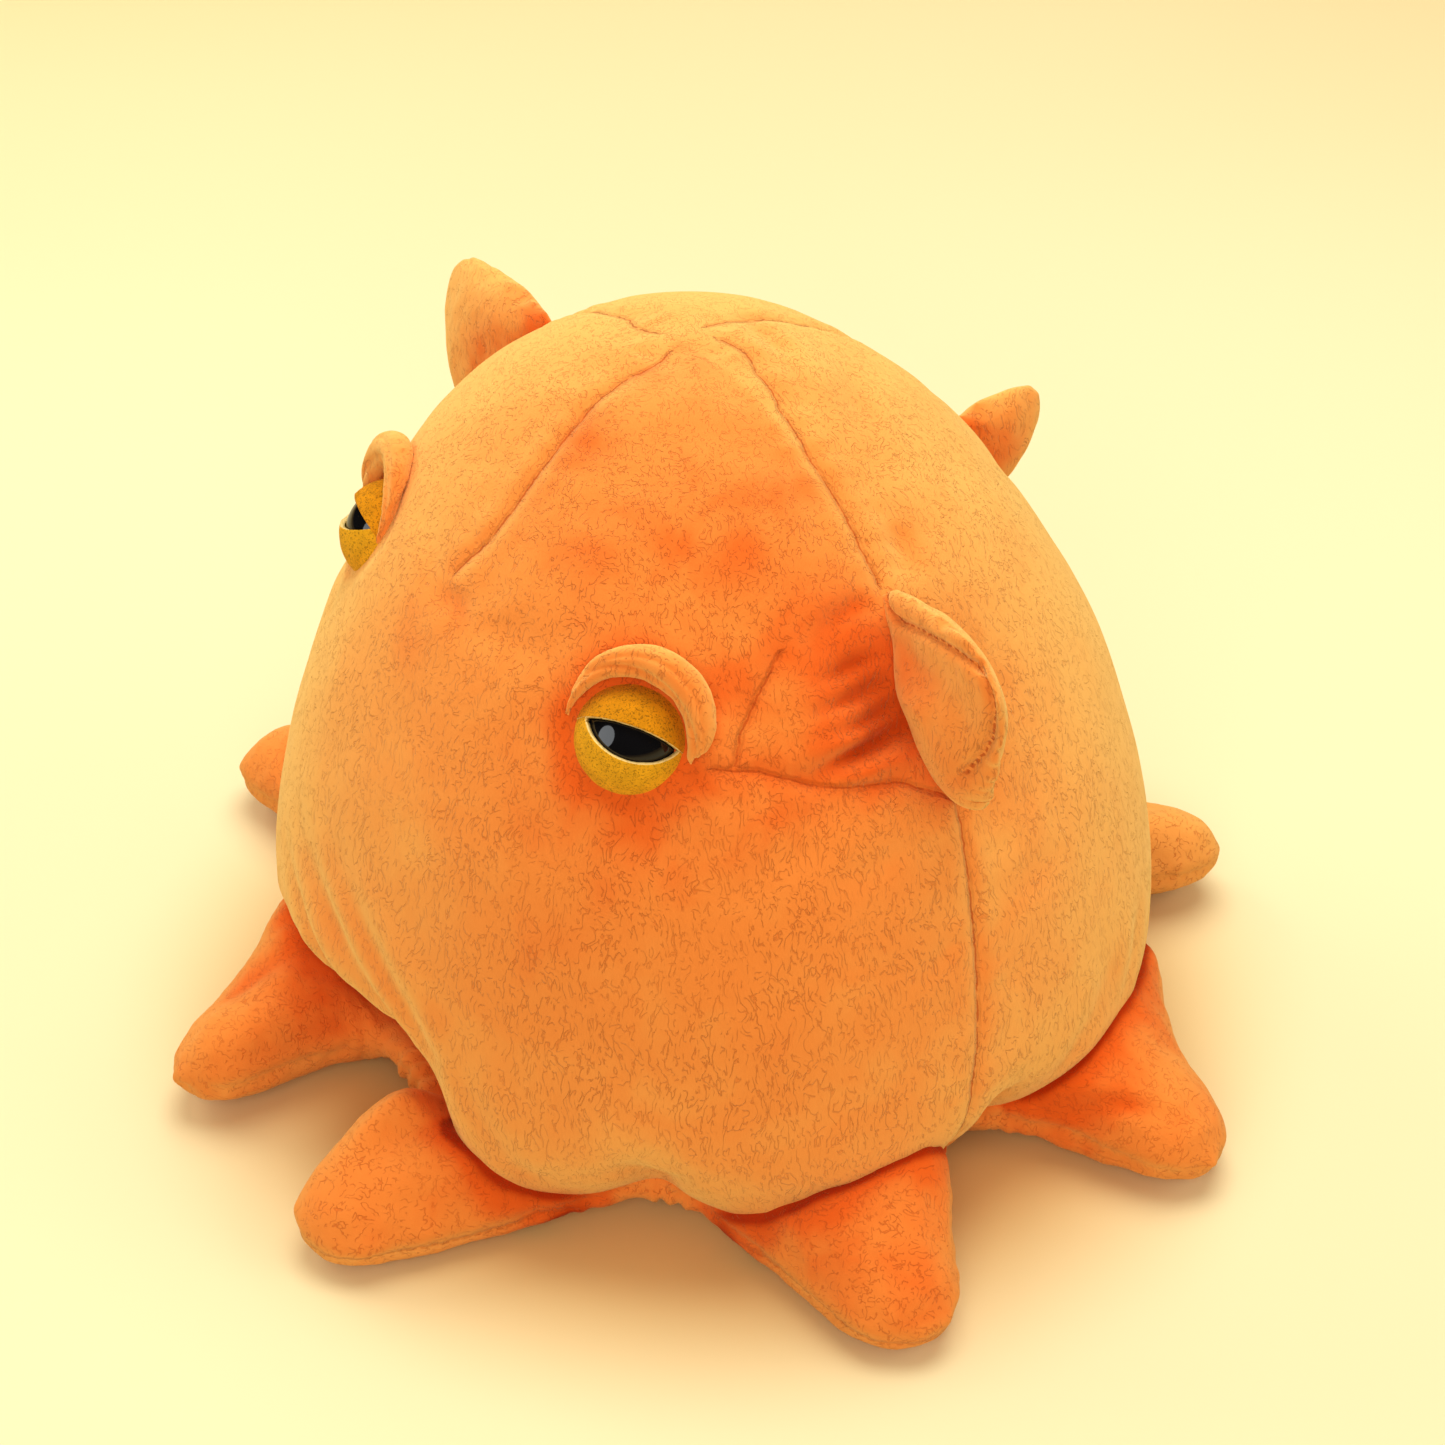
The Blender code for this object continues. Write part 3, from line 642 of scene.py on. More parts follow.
dents = [  # bearing, height, radius and depth in mm; a minus swells
    (81, 152, 15, 2.4), (83, 147, 9, 1.4), (43, 129, 10, 1.6), (36, 194, 16, 1.4), (79, 160, 12, 1.6),
    (84, 145, 9, 2.4), (70, 152, 12, -0.9), (63, 64, 14, 0.9), (20, 90, 30, -1.2), (60, 100, 34, -1.0),
    (-20, 110, 34, -1.2), (98, 150, 14, 1.2), (-84, 151, 10, 2.0), (160, 196, 14, 1.2), (120, 150, 30, -1.2),
    (200, 120, 34, -1.2), (47, 168, 9, -0.7), (180, 145, 10, 1.0), (55, 158, 8, 0.9),
]
shadePatches = [  # patches of painted shade in folds and hollows: bearing, height, radius in mm and how much deeper the colour is
    (80, 152, 19, 0.50), (84, 146, 9, 0.12), (36, 186, 14, 0.13), (62, 186, 16, 0.15),
    (176, 203, 5, 0.45), (120, 200, 7, 0.30), (14, 196, 9, 0.16), (5, 165, 11, 0.16), (44, 122, 15, 0.20),
    (62, 128, 14, 0.15), (30, 84, 22, 0.10), (60, 70, 22, 0.10), (100, 176, 10, 0.22), (160, 192, 9, 0.22),
    (2, 186, 9, 0.14), (-6, 150, 12, 0.14), (104, 120, 16, 0.10),
]
bodyCloth = {"stiffness": 14.0, "bending": 0.35, "pressure": 4.0, "slack": 0.012, "most": 0.0016}
bodyMesh = {"columns": 120, "rings": 64, "voxel": 0.0054, "footHeight": 0.0150}
bodyRelief = {  # metres
    "seamDip": 0.0007, "seamWidth": 0.0016, "seamSwell": 0.00035, "pucker": 0.00016, "puckerLength": 0.0105,
    "eyeDip": 0.0012, "lumps": [(0.0011, 0.045, 3.0), (0.00035, 0.018, 8.0)],
}
bodyPatches = [(0.20, 0.034, 5.0), (0.12, 0.013, 9.0)]  # tone, size and seed
# the forehead panel, by height in mm: the bearing of its front edge, how soft that edge is in degrees,
# and how much of the panel's colour shows
panelEdge = [
    (150, -12), (167.9, -1.5), (176.4, 2.7), (187.3, 5), (196.2, 6.2), (201.1, 6.1), (203.7, 10.3),
    (205.6, 30),
]
panelSoftness = [(120, 24), (160, 14), (172, 3), (180, 1.2)]
panelStrength = [(20, 0.12), (60, 0.32), (110, 0.75), (140, 1)]


def bodyShell():
    columns, rings = bodyMesh["columns"], bodyMesh["rings"]
    base, height = skinForm["baseHeight"], skinForm["height"]
    span = height - base
    heights = [base + span * (1 - cos(pi * (i + 1) / (rings + 1))) / 2 for i in range(rings)]
    vertices = [settledSkin(360 * c / columns, h) for h in heights for c in range(columns)]
    foot, top, last = len(vertices), len(vertices) + 1, (rings - 1) * columns
    crown = leanAt(height)
    vertices += [Vector((0, 0, base)), Vector((crown.x, crown.y, height))]
    pairs = [(c, (c + 1) % columns) for c in range(columns)]
    faces = []
    for low in range(0, last, columns):
        faces += [(low + c, low + d, low + columns + d, low + columns + c) for c, d in pairs]
    faces += [(foot, d, c) for c, d in pairs]
    faces += [(top, last + c, last + d) for c, d in pairs]
    return meshObject("plushBody", vertices, faces)


def skinDistance(points, bearing, height):
    # distance to a place on the settled skin, its height in mm
    return np.linalg.norm(points - np.array(settledSkin(bearing, height / 1000)), axis=1)


def bodyFolds(points):
    # how far creases, dents and eyes press the skin in, and how much painted shade darkens its colour there
    # and in patches; a swell gets a little painted light
    press, paintedShade = np.zeros(len(points)), np.zeros(len(points))
    for places, width, depth in creases:
        away, along = chainField(points, skinChain(places))
        fade = runOut(along, 0.35, 0.15)
        shape = bell(away, width / 1000) * fade
        swell = bell(away - width / 550, width / 900) * fade
        press += depth / 1000 * (shape - 0.4 * swell)
        # painted shade along the crease
        paintedShade += 0.16 * depth * shape
    for bearing, height, radius, depth in dents:
        shape = bell(skinDistance(points, bearing, height), radius / 1000)
        press += depth / 1000 * shape
        # painted shade in a dent, painted light on a swell
        paintedShade += 0.07 * min(depth, 2.0) * shape
    for bearing, height, radius, depth in shadePatches:
        # painted shade in each patch
        paintedShade += depth * bell(skinDistance(points, bearing, height), radius / 1000)
    for side in sides:
        away = np.linalg.norm(points - np.array(eyeFrame(side).translation), axis=1)
        press += bodyRelief["eyeDip"] * bell(away - 0.0155, 0.003)
        # painted shade round each eye
        paintedShade += 0.35 * bell(np.maximum(away - 0.0145, 0), 0.008)
    return press, paintedShade


def bodyTone(points):
    # paler, with a deeper forehead panel between the dart and the side seam, and soft patches
    height = points[:, 2] * 1000
    base = skinForm["baseHeight"]
    lean = skinForm["lean"][0] * ramp(points[:, 2], base, skinForm["height"] - base) ** 2
    bearing = np.degrees(np.arctan2(points[:, 0] - lean, -points[:, 1]))
    inside = softStep(bearing - fromTable(height, panelEdge), fromTable(height, panelSoftness))
    inside *= softStep(90 - bearing, 0.8)
    tone = 0.80 - 0.42 * inside * fromTable(height, panelStrength)
    return tone + layered(points, bodyPatches)


def makeBody():
    body = remesh(bodyShell(), bodyMesh["voxel"])
    seams = [skinChain(places) for places in seamPlaces]
    points = pointsOf(body)
    held = ramp(0.034 - points[:, 2], 0, 0.01)
    for chain in seams:
        held = np.maximum(held, bell(chainField(points, chain)[0], 0.006))
    stuff(body, bodyCloth, held)
    subdivide(body, 2)

    points, normals = pointsOf(body), normalsOf(body)
    away, signed, along = seamFields(points, normals, seams)
    near = bell(away, seamForm["width"])
    calm = np.clip((skinForm["height"] - points[:, 2]) / 0.004, 0.2, 1)  # weaker where the seams meet
    press, paintedShade = bodyFolds(points)
    press += bodyRelief["seamDip"] * bell(away, bodyRelief["seamWidth"]) * calm
    press -= bodyRelief["seamSwell"] * bell(away - 0.0048, 0.003) * calm
    puckers = np.cos(2 * pi * along / bodyRelief["puckerLength"] + 2 * np.sin(along * 160))
    press -= bodyRelief["pucker"] * puckers * bell(away - 0.004, 0.004)
    press -= layered(points, bodyRelief["lumps"])
    press *= ramp(points[:, 2], skinForm["baseHeight"] + 0.001, 0.004)
    setPoints(body, points - normals * press[:, None])

    # painted shade along the body's foot, where it meets the arms
    low = points[:, 2] - bodyMesh["footHeight"]
    paintedShade += 0.5 * bell(low, 0.0028) + 0.7 * bell(low, 0.012)
    tone = bodyTone(points) - 0.10 * near * calm
    giveAttribute(body, "tone", np.clip(tone - paintedShade, -0.45, 1))
    giveSeam(body, signed, near, np.zeros(len(points)))  # fine thread, broken at random with no even stitch
    print("body", len(body.data.polygons), "faces")
    finishPiece(body, [bodyPlush], ["body"])


# Arms: the star of top and underside panels, sewn round its edge and stuffed

armCloth = {"stiffness": 16.0, "bending": 0.5, "pressure": 5.0, "slack": 0.01, "most": 0.0012}
armMesh = {"voxel": 0.0048, "edgeHeight": 0.00785, "seamHeight": 0.0080}
armRelief = {  # metres
    "seamDip": 0.0012, "seamWidth": 0.0016, "seamSwell": 0.0005, "stitch": 0.004,
    "hemOut": 0.0045, "hemUp": 0.0062, "hemSwell": 0.0010, "ruffle": 0.0007,
    "lumps": [(0.0009, 0.022, 4.0), (0.0005, 0.009, 2.0), (0.00022, 0.0032, 1.0)],
}
armPatches = [(0.20, 0.030, 5.0), (0.12, 0.010, 9.0)]


def armEdge():
    # the star's outline, from the CAD vertices that lie at the edge's height
    points = np.array([v.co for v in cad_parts["skirt_underside"].data.vertices])
    top = points[np.abs(points[:, 2] - armMesh["edgeHeight"]) < 0.0001]
    top = np.unique(np.round(top, 5), axis=0)
    top = top[np.argsort(bearingOf(top))]
    top[:, 2] = armMesh["seamHeight"]
    return top


# bearing, spread of the bearing, inner radius, mm out and mm up
drapes = [
    (-47, 11, 88, 11, 7), (134, 10, 88, 12, 8), (148, 7, 100, 6, 0), (286, 9, 110, 6, 0), (6, 5, 92, 0, 5),
    (-35, 9, 95, 0, 4), (118, 10, 95, 0, 5), (80, 9, 95, 3, 8),
]
hemNotches = [-10.5, 41.5, 92.5, 150, 191, 232, 270, 300]
armCreases = [  # places as (bearing, radius in mm), width and depth in mm
    ([(8, 112), (7, 125), (7, 138)], 4.0, -2.2),
    ([(13, 116), (10, 126), (8, 132)], 4.0, 1.4),
    ([(24, 110), (21, 117), (18, 122)], 2.0, 1.2), ([(28, 106), (26, 112), (24, 117)], 1.8, 1.0),
    ([(54, 112), (58, 116), (63, 117)], 2.5, 1.6), ([(48, 104), (52, 112), (57, 122)], 2.0, 1.0),
    ([(84, 104), (82, 112), (78, 118)], 2.5, 1.2),
    ([(96, 104), (101, 118), (105, 134), (107, 146)], 2.4, 2.0),
    ([(98, 101), (108, 112), (114, 122)], 4.0, -1.2), ([(92, 99), (96, 108), (99, 120)], 2.0, 1.1),
    ([(-30, 112), (-26, 128), (-24, 142)], 4.0, 1.0), ([(-40, 112), (-33, 126)], 4.5, -1.4),
    ([(158, 118), (160, 132), (161, 142)], 3.5, 1.3), ([(152, 112), (155, 122)], 3.0, 1.0),
]
armTones = [(8, 14, 0.28), (160, 16, 0.8), (286, 14, 0.2)]  # bearing, spread and how much lighter


def drapeArms(points):
    # the panels are wider and climb higher where they hang from the body
    radius, bearing = np.hypot(points[:, 0], points[:, 1]), bearingOf(points)
    direction = points[:, :2] / np.maximum(radius, 1e-9)[:, None]
    moved = points.copy()
    for centre, width, inner, out, up in drapes:
        near = bell(turnFrom(bearing, centre), width)
        reach = ramp(radius, inner / 1000, 0.016)
        moved[:, :2] += direction * (out / 1000 * near * reach)[:, None]
        moved[:, 2] += up / 1000 * near * bell(radius - 0.112, 0.022) * np.clip(points[:, 2] / 0.012, 0, 1.4)
    for centre in hemNotches:
        # the hem rolls up between two arms
        near = bell(turnFrom(bearing, centre), 10) * ramp(radius, 0.084, 0.008)
        moved[:, :2] += direction * (armRelief["hemOut"] * near)[:, None]
        moved[:, 2] += near * (armRelief["hemUp"] + 0.25 * points[:, 2])
    return moved


def armFolds(points):
    # how far the creases press the arms in, and how much painted shade darkens the colour in them
    press, paintedShade = np.zeros(len(points)), np.zeros(len(points))
    flat = points * np.array([1, 1, 0])
    for places, width, depth in armCreases:
        away, along = chainField(flat, [outward(bearing) * (radius / 1000) for bearing, radius in places])
        shape = bell(away, width / 1000) * runOut(along, 0.3, 0.2) * ramp(points[:, 2], 0.006, 0.004)
        press += depth / 1000 * shape
        # painted shade in the crease
        paintedShade += 0.14 * max(depth, 0) * shape
    return press, paintedShade


def armTone(points, away, hem, paintedShade):
    # painted shade beside the body and in creases; paler on the hem, along the edge and on some arms
    radius, bearing = np.hypot(points[:, 0], points[:, 1]), bearingOf(points)
    tone = 0.34 + layered(points, armPatches)
    # painted shade beside the body and in the creases
    tone -= 0.3 * ramp(0.122 - radius, 0, 0.02) + paintedShade
    tone += (0.75 - tone) * hem * 0.8
    tone += 0.35 * bell(away, 0.004) * (1 - hem)
    # painted shade in the crease where the arms meet the body's foot
    gap = radius - settledRadius(bearing, np.maximum(points[:, 2], 0.0125))
    tone -= (1 - hem) * (1.0 * bell(gap, 0.0026) + 0.35 * bell(gap, 0.010))
    for centre, width, paler in armTones:
        tone += paler * bell(turnFrom(bearing, centre), width) * ramp(radius, 0.112, 0.012)
    return tone


def makeArms():
    arms = remesh(copyNodes("plushArms", ["arm_skirt", "skirt_underside"]), armMesh["voxel"])
    smoothOut(arms, 30)
    points = drapeArms(pointsOf(arms))
    setPoints(arms, points)
    edge = drapeArms(armEdge())
    chain = [*edge, edge[0]]
    radius = np.hypot(points[:, 0], points[:, 1])
    held = np.maximum(bell(chainField(points, chain)[0], 0.005), ramp(0.102 - radius, 0, 0.01))
    held = np.maximum(held, ramp(0.003 - points[:, 2], 0, 0.002))
    stuff(arms, armCloth, held)
    subdivide(arms, 2)

    points, normals = pointsOf(arms), normalsOf(arms)
    away, along = chainField(points, chain)
    radius, bearing = np.hypot(points[:, 0], points[:, 1]), bearingOf(points)
    hem = np.zeros(len(points))
    for centre in hemNotches:
        hem = np.maximum(hem, bell(turnFrom(bearing, centre), 12))
    hem *= ramp(radius, 0.088, 0.004) * ramp(0.112 - radius, 0, 0.010)
    press, paintedShade = armFolds(points)
    stitches = 0.8 + 0.2 * np.cos(2 * pi * along / armRelief["stitch"])
    press += armRelief["seamDip"] * bell(away, armRelief["seamWidth"]) * stitches
    press -= armRelief["seamSwell"] * bell(away - 0.004, 0.0025)
    press -= layered(points, armRelief["lumps"]) * ramp(radius, 0.09, 0.01)
    ruffle = np.sin(along / 0.00125 + 2.5 * np.sin(along * 210))
    press -= hem * (armRelief["hemSwell"] + armRelief["ruffle"] * ruffle)
    press *= np.clip(points[:, 2] / 0.004, 0, 1)
    moved = points - normals * press[:, None]
    moved[:, 2] = np.maximum(moved[:, 2], 0.0)
    setPoints(arms, moved)
    giveAttribute(arms, "tone", np.clip(armTone(points, away, hem, paintedShade), -1, 1))
    overSeam = points[:, 2] - armMesh["seamHeight"] - 0.0007 * np.sin(along * 90)
    giveSeam(arms, overSeam, bell(away, 0.0042) * (1 - 0.8 * hem), along)
    print("arms", len(arms.data.polygons), "faces")
    finishPiece(arms, [armPlush], ["arm_skirt", "skirt_underside"])


# Fins

finForm = {
    "left": {
        "node": "side_fin_left", "bearing": 90, "top": 0.1695, "bottom": 0.1250, "reach": 0.044,
        "round": 0.5, "sag": 0.0075, "rise": 0.0, "seamInset": 0.0062, "groove": 1.0, "belly": 0.0055,
    },
    "right": {
        "node": "side_fin_right", "bearing": -90, "top": 0.1785, "bottom": 0.1320, "reach": 0.044,
        "round": 0.5, "sag": 0.007, "rise": 0.008, "seamInset": 0.0016, "groove": 0.0, "belly": 0.0,
    },
    "back": {
        "node": "back_fin", "bearing": 180, "top": 0.1455, "bottom": 0.1220, "reach": 0.0335,
        "round": 0.3, "sag": 0.009, "rise": 0.004, "seamInset": 0.0016, "groove": 0.0, "belly": 0.0,
    },
}
finCloth = {"stiffness": 12.0, "bending": 0.2, "pressure": 6.0, "slack": 0.01, "most": 0.0014}
finMesh = {"voxel": 0.0023, "outlineSteps": 32}
finRelief = {"seamDip": 0.0018, "rim": 0.0010, "hollow": 0.0009}
finLumps = [(0.0005, 0.014, 4.0), (0.0003, 0.006, 2.0)]
finPatches = [(0.18, 0.020, 6.0)]


def fromRoot(points, middle, out):
    # distance out from the root and height, with the swing taken off
    reach = (points - np.array(middle)) @ np.array(out)
    return np.stack([reach, np.zeros(len(points)), points[:, 2]], axis=1)


def finOutline(form, middle, out):
    # the lobe's edge, in the same flat view
    outline = []
    for i in range(finMesh["outlineSteps"] + 1):
        down = i / finMesh["outlineSteps"]
        length = form["reach"] * max(0.03, sin(pi * down)) ** form["round"]
        place = skin(form["bearing"], form["top"] + (form["bottom"] - form["top"]) * down) + out * length
        drop = form["sag"] * max(0.0, (down - 0.35) / 0.65) * length / form["reach"]
        outline.append(((place - middle).dot(out), 0, place.z - drop))
    return outline


def makeFin(name):
    form = finForm[name]
    fin = remesh(copyNodes("plushFin_" + name, [form["node"]]), finMesh["voxel"])
    out = skinNormal(form["bearing"], (form["top"] + form["bottom"]) / 2)
    aside = Vector((0, 0, 1)).cross(out).normalized()
    middle = skin(form["bearing"], (form["top"] + form["bottom"]) / 2)
    facing = 1 if form["bearing"] >= 0 else -1
    outline = finOutline(form, middle, out)

    # the lobe hangs lower and fuller than its root, and its top runs up the skin
    points = pointsOf(fin)
    reach = fromRoot(points, middle, out)[:, 0]
    down = np.clip((form["top"] - points[:, 2]) / (form["top"] - form["bottom"]), 0, 1.3)
    outer = np.clip(reach / form["reach"], 0, 1)
    points[:, 2] -= form["sag"] * outer * ramp(down, 0.35, 0.65)
    climb = np.array(skin(form["bearing"], form["top"] + form["rise"]) - skin(form["bearing"], form["top"]))
    points += climb * (np.clip(1 - outer * 0.9, 0, 1) * np.clip(1 - down * 1.3, 0, 1))[:, None]
    setPoints(fin, points)
    edge, _ = chainField(fromRoot(points, middle, out), outline)
    stuff(fin, finCloth, np.maximum(bell(edge, 0.002), ramp(0.006 - reach, 0, 0.004)))
    subdivide(fin, 2)

    points, normals = pointsOf(fin), normalsOf(fin)
    flat = fromRoot(points, middle, out)
    reach = flat[:, 0]
    edge, along = chainField(flat, outline)
    face = np.clip(0.5 - normals @ np.array(aside) * facing * 2.5, 0, 1)
    # the seam shows on the face that turns to the front, and stops short of the lower root
    seam = face * form["groove"] * ramp(0.90 - along / along.max(), 0, 0.12)
    signed = edge - form["seamInset"]
    press = finRelief["seamDip"] * seam * bell(signed, 0.0012)
    press -= finRelief["rim"] * seam * bell(signed + form["seamInset"] * 0.6, 0.0022)
    press += finRelief["hollow"] * seam * bell(edge - 0.014, 0.005) * np.clip(reach / 0.01, 0, 1)
    lower = ramp(form["top"] - 0.006 - points[:, 2], 0, 0.012)
    lower = lower * lower * (3 - 2 * lower)
    press -= form["belly"] * face * lower * bell(reach - 0.010, 0.013)
    press -= layered(points, finLumps)
    setPoints(fin, points - normals * press[:, None])
    tone = 0.56 + layered(points, finPatches) + 0.4 * bell(edge, 0.003)
    # painted shade toward the root, where the fin meets the body
    tone -= 0.5 * np.clip(1 - reach / 0.022, 0, 1)
    giveAttribute(fin, "tone", np.clip(tone, 0, 1))
    giveSeam(fin, signed, bell(signed, seamForm["width"]) * seam, along)
    print("fin", name, len(fin.data.polygons), "faces")
    finishPiece(fin, [bodyPlush], [form["node"]])


# Brows

browCloth = {"stiffness": 10.0, "bending": 0.1, "pressure": 5.0, "slack": 0.02, "most": 0.0007}
browMesh = {"voxel": 0.0013}
browFolds = [(0.0172, 0.0008, 0.0007), (0.0200, 0.0005, 0.0006)]  # radius round the eye, depth and width


def inEyeFrame(points, side):
    inverse = eyeFrame(side).inverted()
    return np.array([inverse @ Vector(p) for p in points])


def makeBrow(side):
    brow = remesh(copyNodes("plushBrow_" + side, ["brow_" + side]), browMesh["voxel"])
    local = inEyeFrame(pointsOf(brow), side)
    stuff(brow, browCloth, ramp(0.0075 - local[:, 2], 0, 0.001))
    subdivide(brow, 1)
    points, normals = pointsOf(brow), normalsOf(brow)
    local = inEyeFrame(points, side)
    away = np.hypot(local[:, 0], local[:, 1])
    turn = np.arctan2(local[:, 1], local[:, 0] * sides[side])
    press = -0.0003 * lumps(points, 0.006, 3.0)
    for radius, depth, width in browFolds:
        line = radius + 0.0010 * np.sin(turn * 2.3 + radius * 900)
        press += depth * bell(away - line, width) * np.clip(local[:, 2] / 0.006, 0, 1)
    setPoints(brow, points - normals * press[:, None])
    # darker in the pressed folds: painted shade
    tone = 0.66 + 0.15 * lumps(points, 0.01, 5.0) - 350 * np.clip(press, 0, 0.0006)
    giveAttribute(brow, "tone", np.clip(tone, 0, 1))
    noSeam = np.zeros(len(points))
    giveSeam(brow, noSeam + seamForm["reach"], noSeam, noSeam)
    finishPiece(brow, [bodyPlush], ["brow_" + side])


# Eyes and lids

lidForm = {
    "innerCorner": (-0.727, 0.309), "outerCorner": (0.924, -0.105),
    "upperMiddle": (0.187, 0.260), "lowerMiddle": (0.200, -0.365), "over": 0.0002, "rough": 0.0001,
    # what each lid was cut from the flat felt: across, up and area
    "upperCut": (0.038, 0.026, 0.00074), "lowerCut": (0.036, 0.026, 0.00072),
}


def onBall(place, mirror):
    return Vector((mirror * place[0], place[1], sqrt(max(0.0, 1 - place[0] ** 2 - place[1] ** 2))))


def lidPlane(middle, mirror, radius):
    inner, outer = onBall(lidForm["innerCorner"], mirror), onBall(lidForm["outerCorner"], mirror)
    normal = (outer - inner).cross(onBall(middle, mirror) - inner).normalized()
    return inner * radius, normal if normal.y > 0 else -normal


def ballMesh(radius, columns, rings):
    bm = bmesh.new()
    bmesh.ops.create_uvsphere(bm, u_segments=columns, v_segments=rings, radius=radius)
    return bm


def cut(bm, point, normal):
    # keeps what lies below the plane
    everything = bm.verts[:] + bm.edges[:] + bm.faces[:]
    bmesh.ops.bisect_plane(bm, geom=everything, plane_co=point, plane_no=normal, clear_outer=True)


def makeLid(side, which):
    radius = eyePlace["ball"] + eyePlace["gap"] + eyePlace["felt"]
    upperPoint, upperNormal = lidPlane(lidForm["upperMiddle"], sides[side], radius)
    lowerPoint, lowerNormal = lidPlane(lidForm["lowerMiddle"], sides[side], radius)
    bm = ballMesh(radius + (lidForm["over"] if which == "upper" else 0.0), 96, 64)
    cut(bm, Vector((0, 0, -eyePlace["back"])), Vector((0, 0, -1)))
    if which == "upper":
        cut(bm, upperPoint, -upperNormal)
    else:
        cut(bm, lowerPoint, lowerNormal)
        cut(bm, upperPoint, upperNormal)
    lid = objectFrom(bm, "feltLid_" + which + "_" + side)
    shell = lid.modifiers.new("felt", "SOLIDIFY")
    shell.thickness = eyePlace["felt"]
    shell.offset = -1.0
    shell.material_offset_rim = 1
    felts = [upperFelt if which == "upper" else lowerFelt, feltEdge]
    for felt in felts:
        lid.data.materials.append(felt)
    bake(lid)
    points, normals = pointsOf(lid), normalsOf(lid)
    setPoints(lid, points + normals * (lidForm["rough"] * lumps(points, 0.0022, 2.0))[:, None])
    lid.data.transform(eyeFrame(side))
    marks = np.array([p.material_index for p in lid.data.polygons], np.int32)
    finishPiece(lid, felts, [which + "_lid_" + side])
    lid.data.polygons.foreach_set("material_index", marks)


def makeEye(side):
    eye = objectFrom(ballMesh(eyePlace["ball"], 72, 48), "domedEye_" + side)
    eye.data.transform(eyeFrame(side))
    finishPiece(eye, [eyeGloss], ["eye_" + side])
    for which in ("upper", "lower"):
        makeLid(side, which)
    print("eye", side)


makeBody()
makeArms()
for finName in finForm:
    makeFin(finName)
for sideName in sides:
    makeBrow(sideName)
    makeEye(sideName)
    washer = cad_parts["eye_washer_" + sideName]
    washer.data.materials.clear()
    washer.data.materials.append(washerPlastic)


# Floor, light and camera

floorForm = {
    "size": 12.0, "near": (0.63, 0.565, 0.345, 1), "far": (0.61, 0.455, 0.190, 1), "from": 0.30, "to": 1.3,
    "bounceShadeFrom": 0.105, "bounceShadeTo": 0.175, "bounceShade": (0.90, 0.70, 0.45, 1), "seenBrighter": 1.42,
}


def makeFloor():
    half = floorForm["size"] / 2
    corners = [(-half, -half, 0), (half, -half, 0), (half, half, 0), (-half, half, 0)]
    floor = meshObject("floor", corners, [(0, 1, 2, 3)])
    material, tree, shader = newMaterial("paperFloor")
    place = node(tree, "ShaderNodeTexCoord").outputs["Object"]
    # painted pool of light: the floor is palest near the middle and deeper in colour far out
    cloud = math(tree, "SUBTRACT", noiseAt(tree, place, 2.2, 1.0, 0.4), 0.5)
    away = vector(tree, "LENGTH", {0: place}, "Value")
    clouded = math(tree, "ADD", away, times(tree, cloud, 0.3))
    share = spread(tree, clouded, floorForm["from"], floorForm["to"])
    colour = mixColour(tree, share, floorForm["near"], floorForm["far"])
    # painted bounce light and shade: the floor's colour deepens toward orange between the arms, where light
    # thrown back by the plush and shade fall
    bounceShade = spread(tree, away, floorForm["bounceShadeFrom"], floorForm["bounceShadeTo"], 1.0, 0.0)
    colour = mixColour(tree, bounceShade, colour, floorForm["bounceShade"], "MULTIPLY")
    # paler where the camera sees it, so the object itself gets no more light
    seen = node(tree, "ShaderNodeLightPath").outputs["Is Camera Ray"]
    gain = spread(tree, seen, 0.0, 1.0, 1.0, floorForm["seenBrighter"])
    colour = vector(tree, "SCALE", {0: colour, "Scale": gain})
    tree.links.new(colour, shader.inputs["Base Color"])
    shader.inputs["Roughness"].default_value = 0.9
    shader.inputs["Specular IOR Level"].default_value = 0.1
    floor.data.materials.append(material)


lights = {
    "left": {"place": (-1.1, -0.35, 0.75), "size": 0.9, "power": 5.4, "colour": (1.0, 0.97, 0.90)},
    "right": {"place": (1.0, 0.75, 0.75), "size": 0.9, "power": 3.2, "colour": (1.0, 0.97, 0.90)},
    "overhead": {"place": (-0.15, 0.25, 1.35), "size": 1.2, "power": 14.0, "colour": (0.98, 1.0, 0.97)},
    "front": {"place": (0.95, -0.95, 0.85), "size": 1.0, "power": 9.5, "colour": (1.0, 0.97, 0.92)},
}
worldForm = {"light": (1.0, 0.76, 0.50, 1), "seen": (1.0, 0.78, 0.36, 1), "strength": 0.40}


def makeLights():
    for name, form in lights.items():
        data = bpy.data.lights.new(name, "AREA")
        data.shape = "DISK"
        data.size = form["size"]
        data.energy = form["power"]
        data.color = form["colour"]
        lamp = link(bpy.data.objects.new(name, data))
        lamp.location = form["place"]
        lamp.visible_glossy = False
        lamp.rotation_mode = "QUATERNION"
        lamp.rotation_quaternion = (Vector((0, 0, 0.08)) - Vector(form["place"])).to_track_quat("-Z", "Y")
    world = bpy.data.worlds.new("softRoom")
    scene.world = world
    world.use_nodes = True
    tree = world.node_tree
    background = tree.nodes["Background"]
    paths = node(tree, "ShaderNodeLightPath")
    seen = paths.outputs["Is Camera Ray"]
    colour = mixColour(tree, seen, worldForm["light"], worldForm["seen"])
    dim = times(tree, math(tree, "SUBTRACT", 1.0, paths.outputs["Is Glossy Ray"]), worldForm["strength"])
    tree.links.new(colour, background.inputs["Color"])
    tree.links.new(math(tree, "MAXIMUM", dim, seen), background.inputs["Strength"])


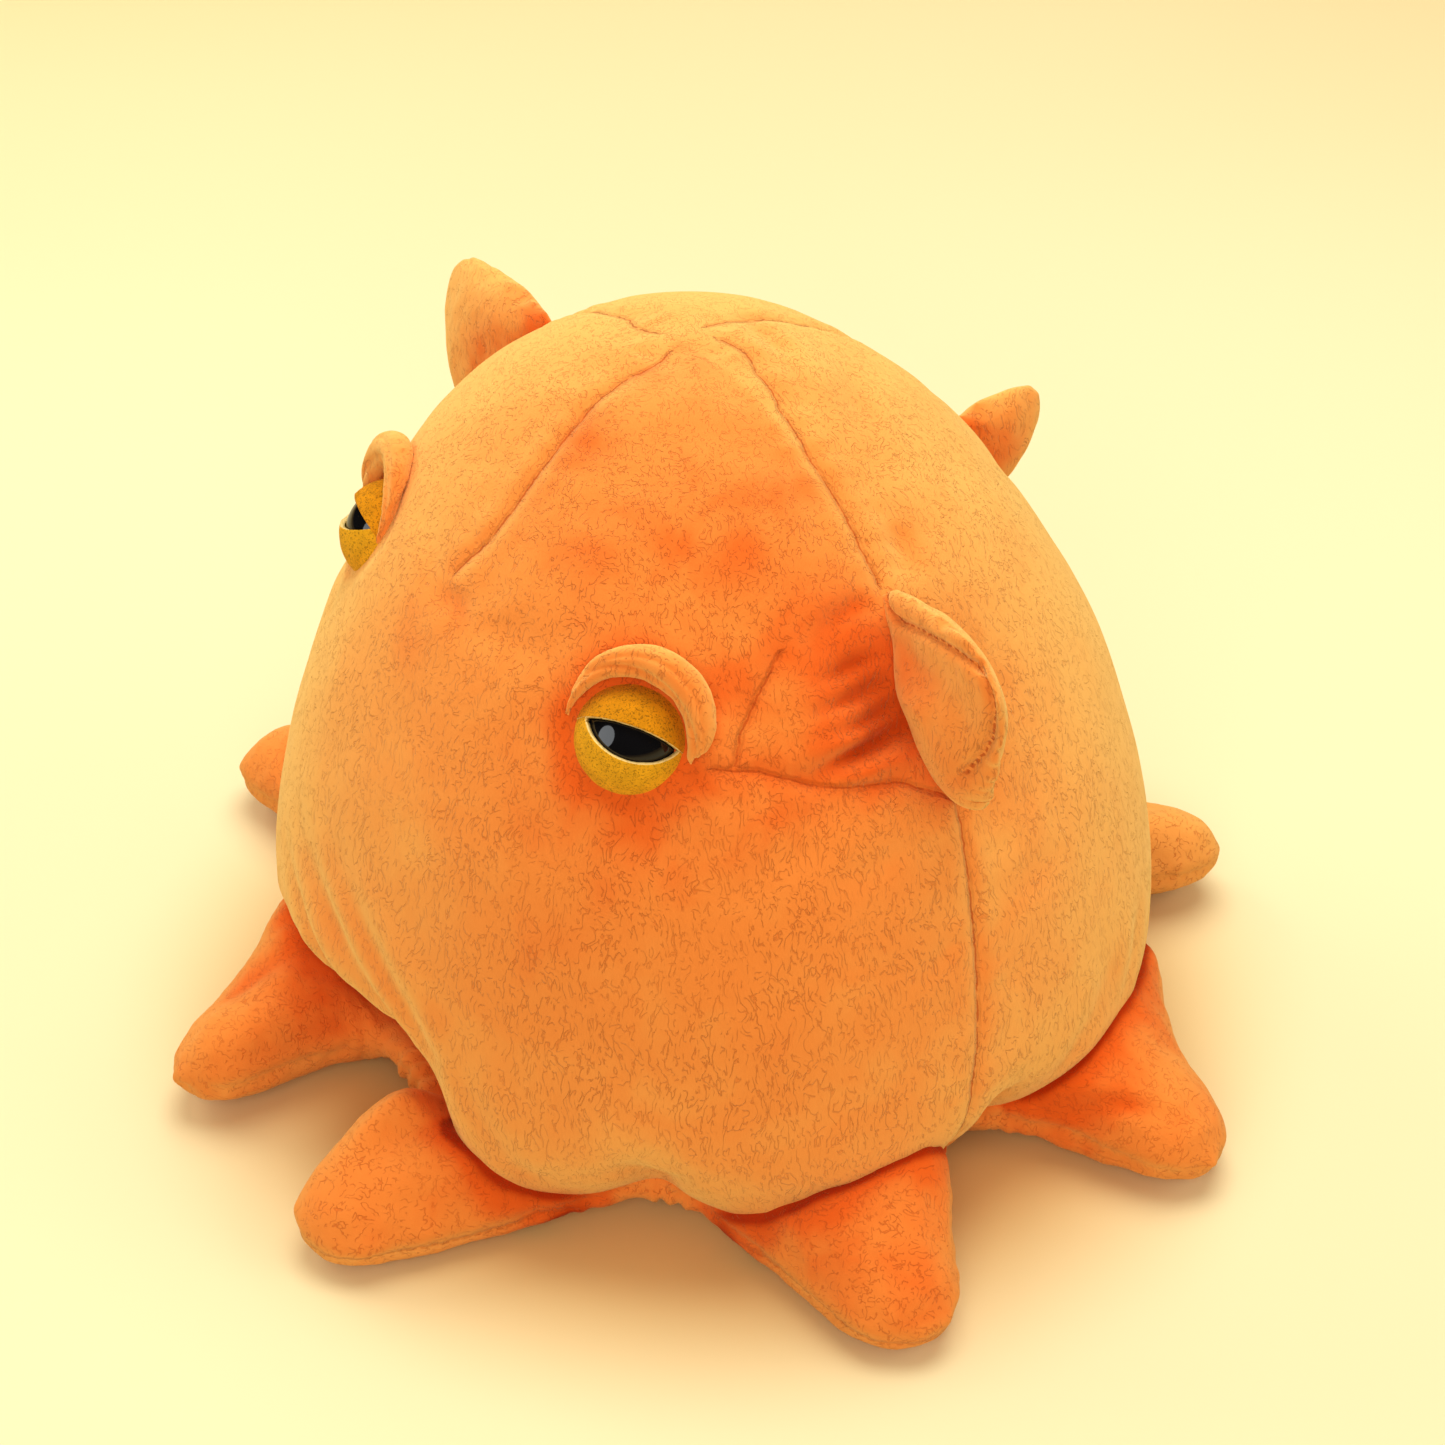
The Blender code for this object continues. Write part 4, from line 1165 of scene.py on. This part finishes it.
cardForm = {
    "toward": (-0.243, -0.891, 0.385), "distance": 1.1, "width": 0.78, "height": 0.88, "corners": 48,
    "strength": 3.4,
}


def makeReflectionCard():
    # a softbox that only the glossy eyes see
    toward = Vector(cardForm["toward"]).normalized()
    turn = toward.to_track_quat("Z", "Y")
    across, up = cardForm["width"] / 2, cardForm["height"] / 2
    angles = [2 * pi * i / cardForm["corners"] for i in range(cardForm["corners"])]
    centre = skin(eyePlace["left"]["bearing"], eyePlace["left"]["height"]) + toward * cardForm["distance"]
    corners = [centre + turn @ Vector((cos(a) * across, sin(a) * up, 0)) for a in angles]
    card = meshObject("eyeSoftbox", corners, [tuple(range(len(corners)))])
    material, tree, shader = newMaterial("softboxGlow")
    tree.nodes.remove(shader)
    glow = node(tree, "ShaderNodeEmission", {"Color": (0.93, 0.97, 1.0, 1), "Strength": cardForm["strength"]})
    tree.links.new(glow.outputs[0], tree.nodes["Material Output"].inputs["Surface"])
    card.data.materials.append(material)
    card.visible_camera = card.visible_diffuse = card.visible_shadow = card.visible_transmission = False


cameraForm = {
    "elevation": 35.94, "turn": 50.35, "unit": 0.141, "right": -0.0154, "up": -0.5381, "away": 7.0,
    "lens": 86.387, "sensor": 36,
}


def makeCamera():
    e, t = radians(cameraForm["elevation"]), radians(cameraForm["turn"])
    right = Vector((cos(t), sin(t), 0))
    forward = Vector((-sin(t) * cos(e), cos(t) * cos(e), -sin(e)))
    up = Vector((-sin(t) * sin(e), cos(t) * sin(e), cos(e)))
    data = bpy.data.cameras.new("camera")
    data.lens = cameraForm["lens"]
    data.sensor_width = cameraForm["sensor"]
    data.clip_start, data.clip_end = 0.05, 50
    camera = link(bpy.data.objects.new("camera", data))
    place = right * cameraForm["right"] + up * cameraForm["up"] + forward * cameraForm["away"]
    turn = Matrix((right, up, -forward)).transposed().to_4x4()
    camera.matrix_world = Matrix.Translation(-place * cameraForm["unit"]) @ turn
    scene.camera = camera


makeFloor()
makeLights()
makeReflectionCard()
makeCamera()
scene.view_settings.view_transform = "Standard"
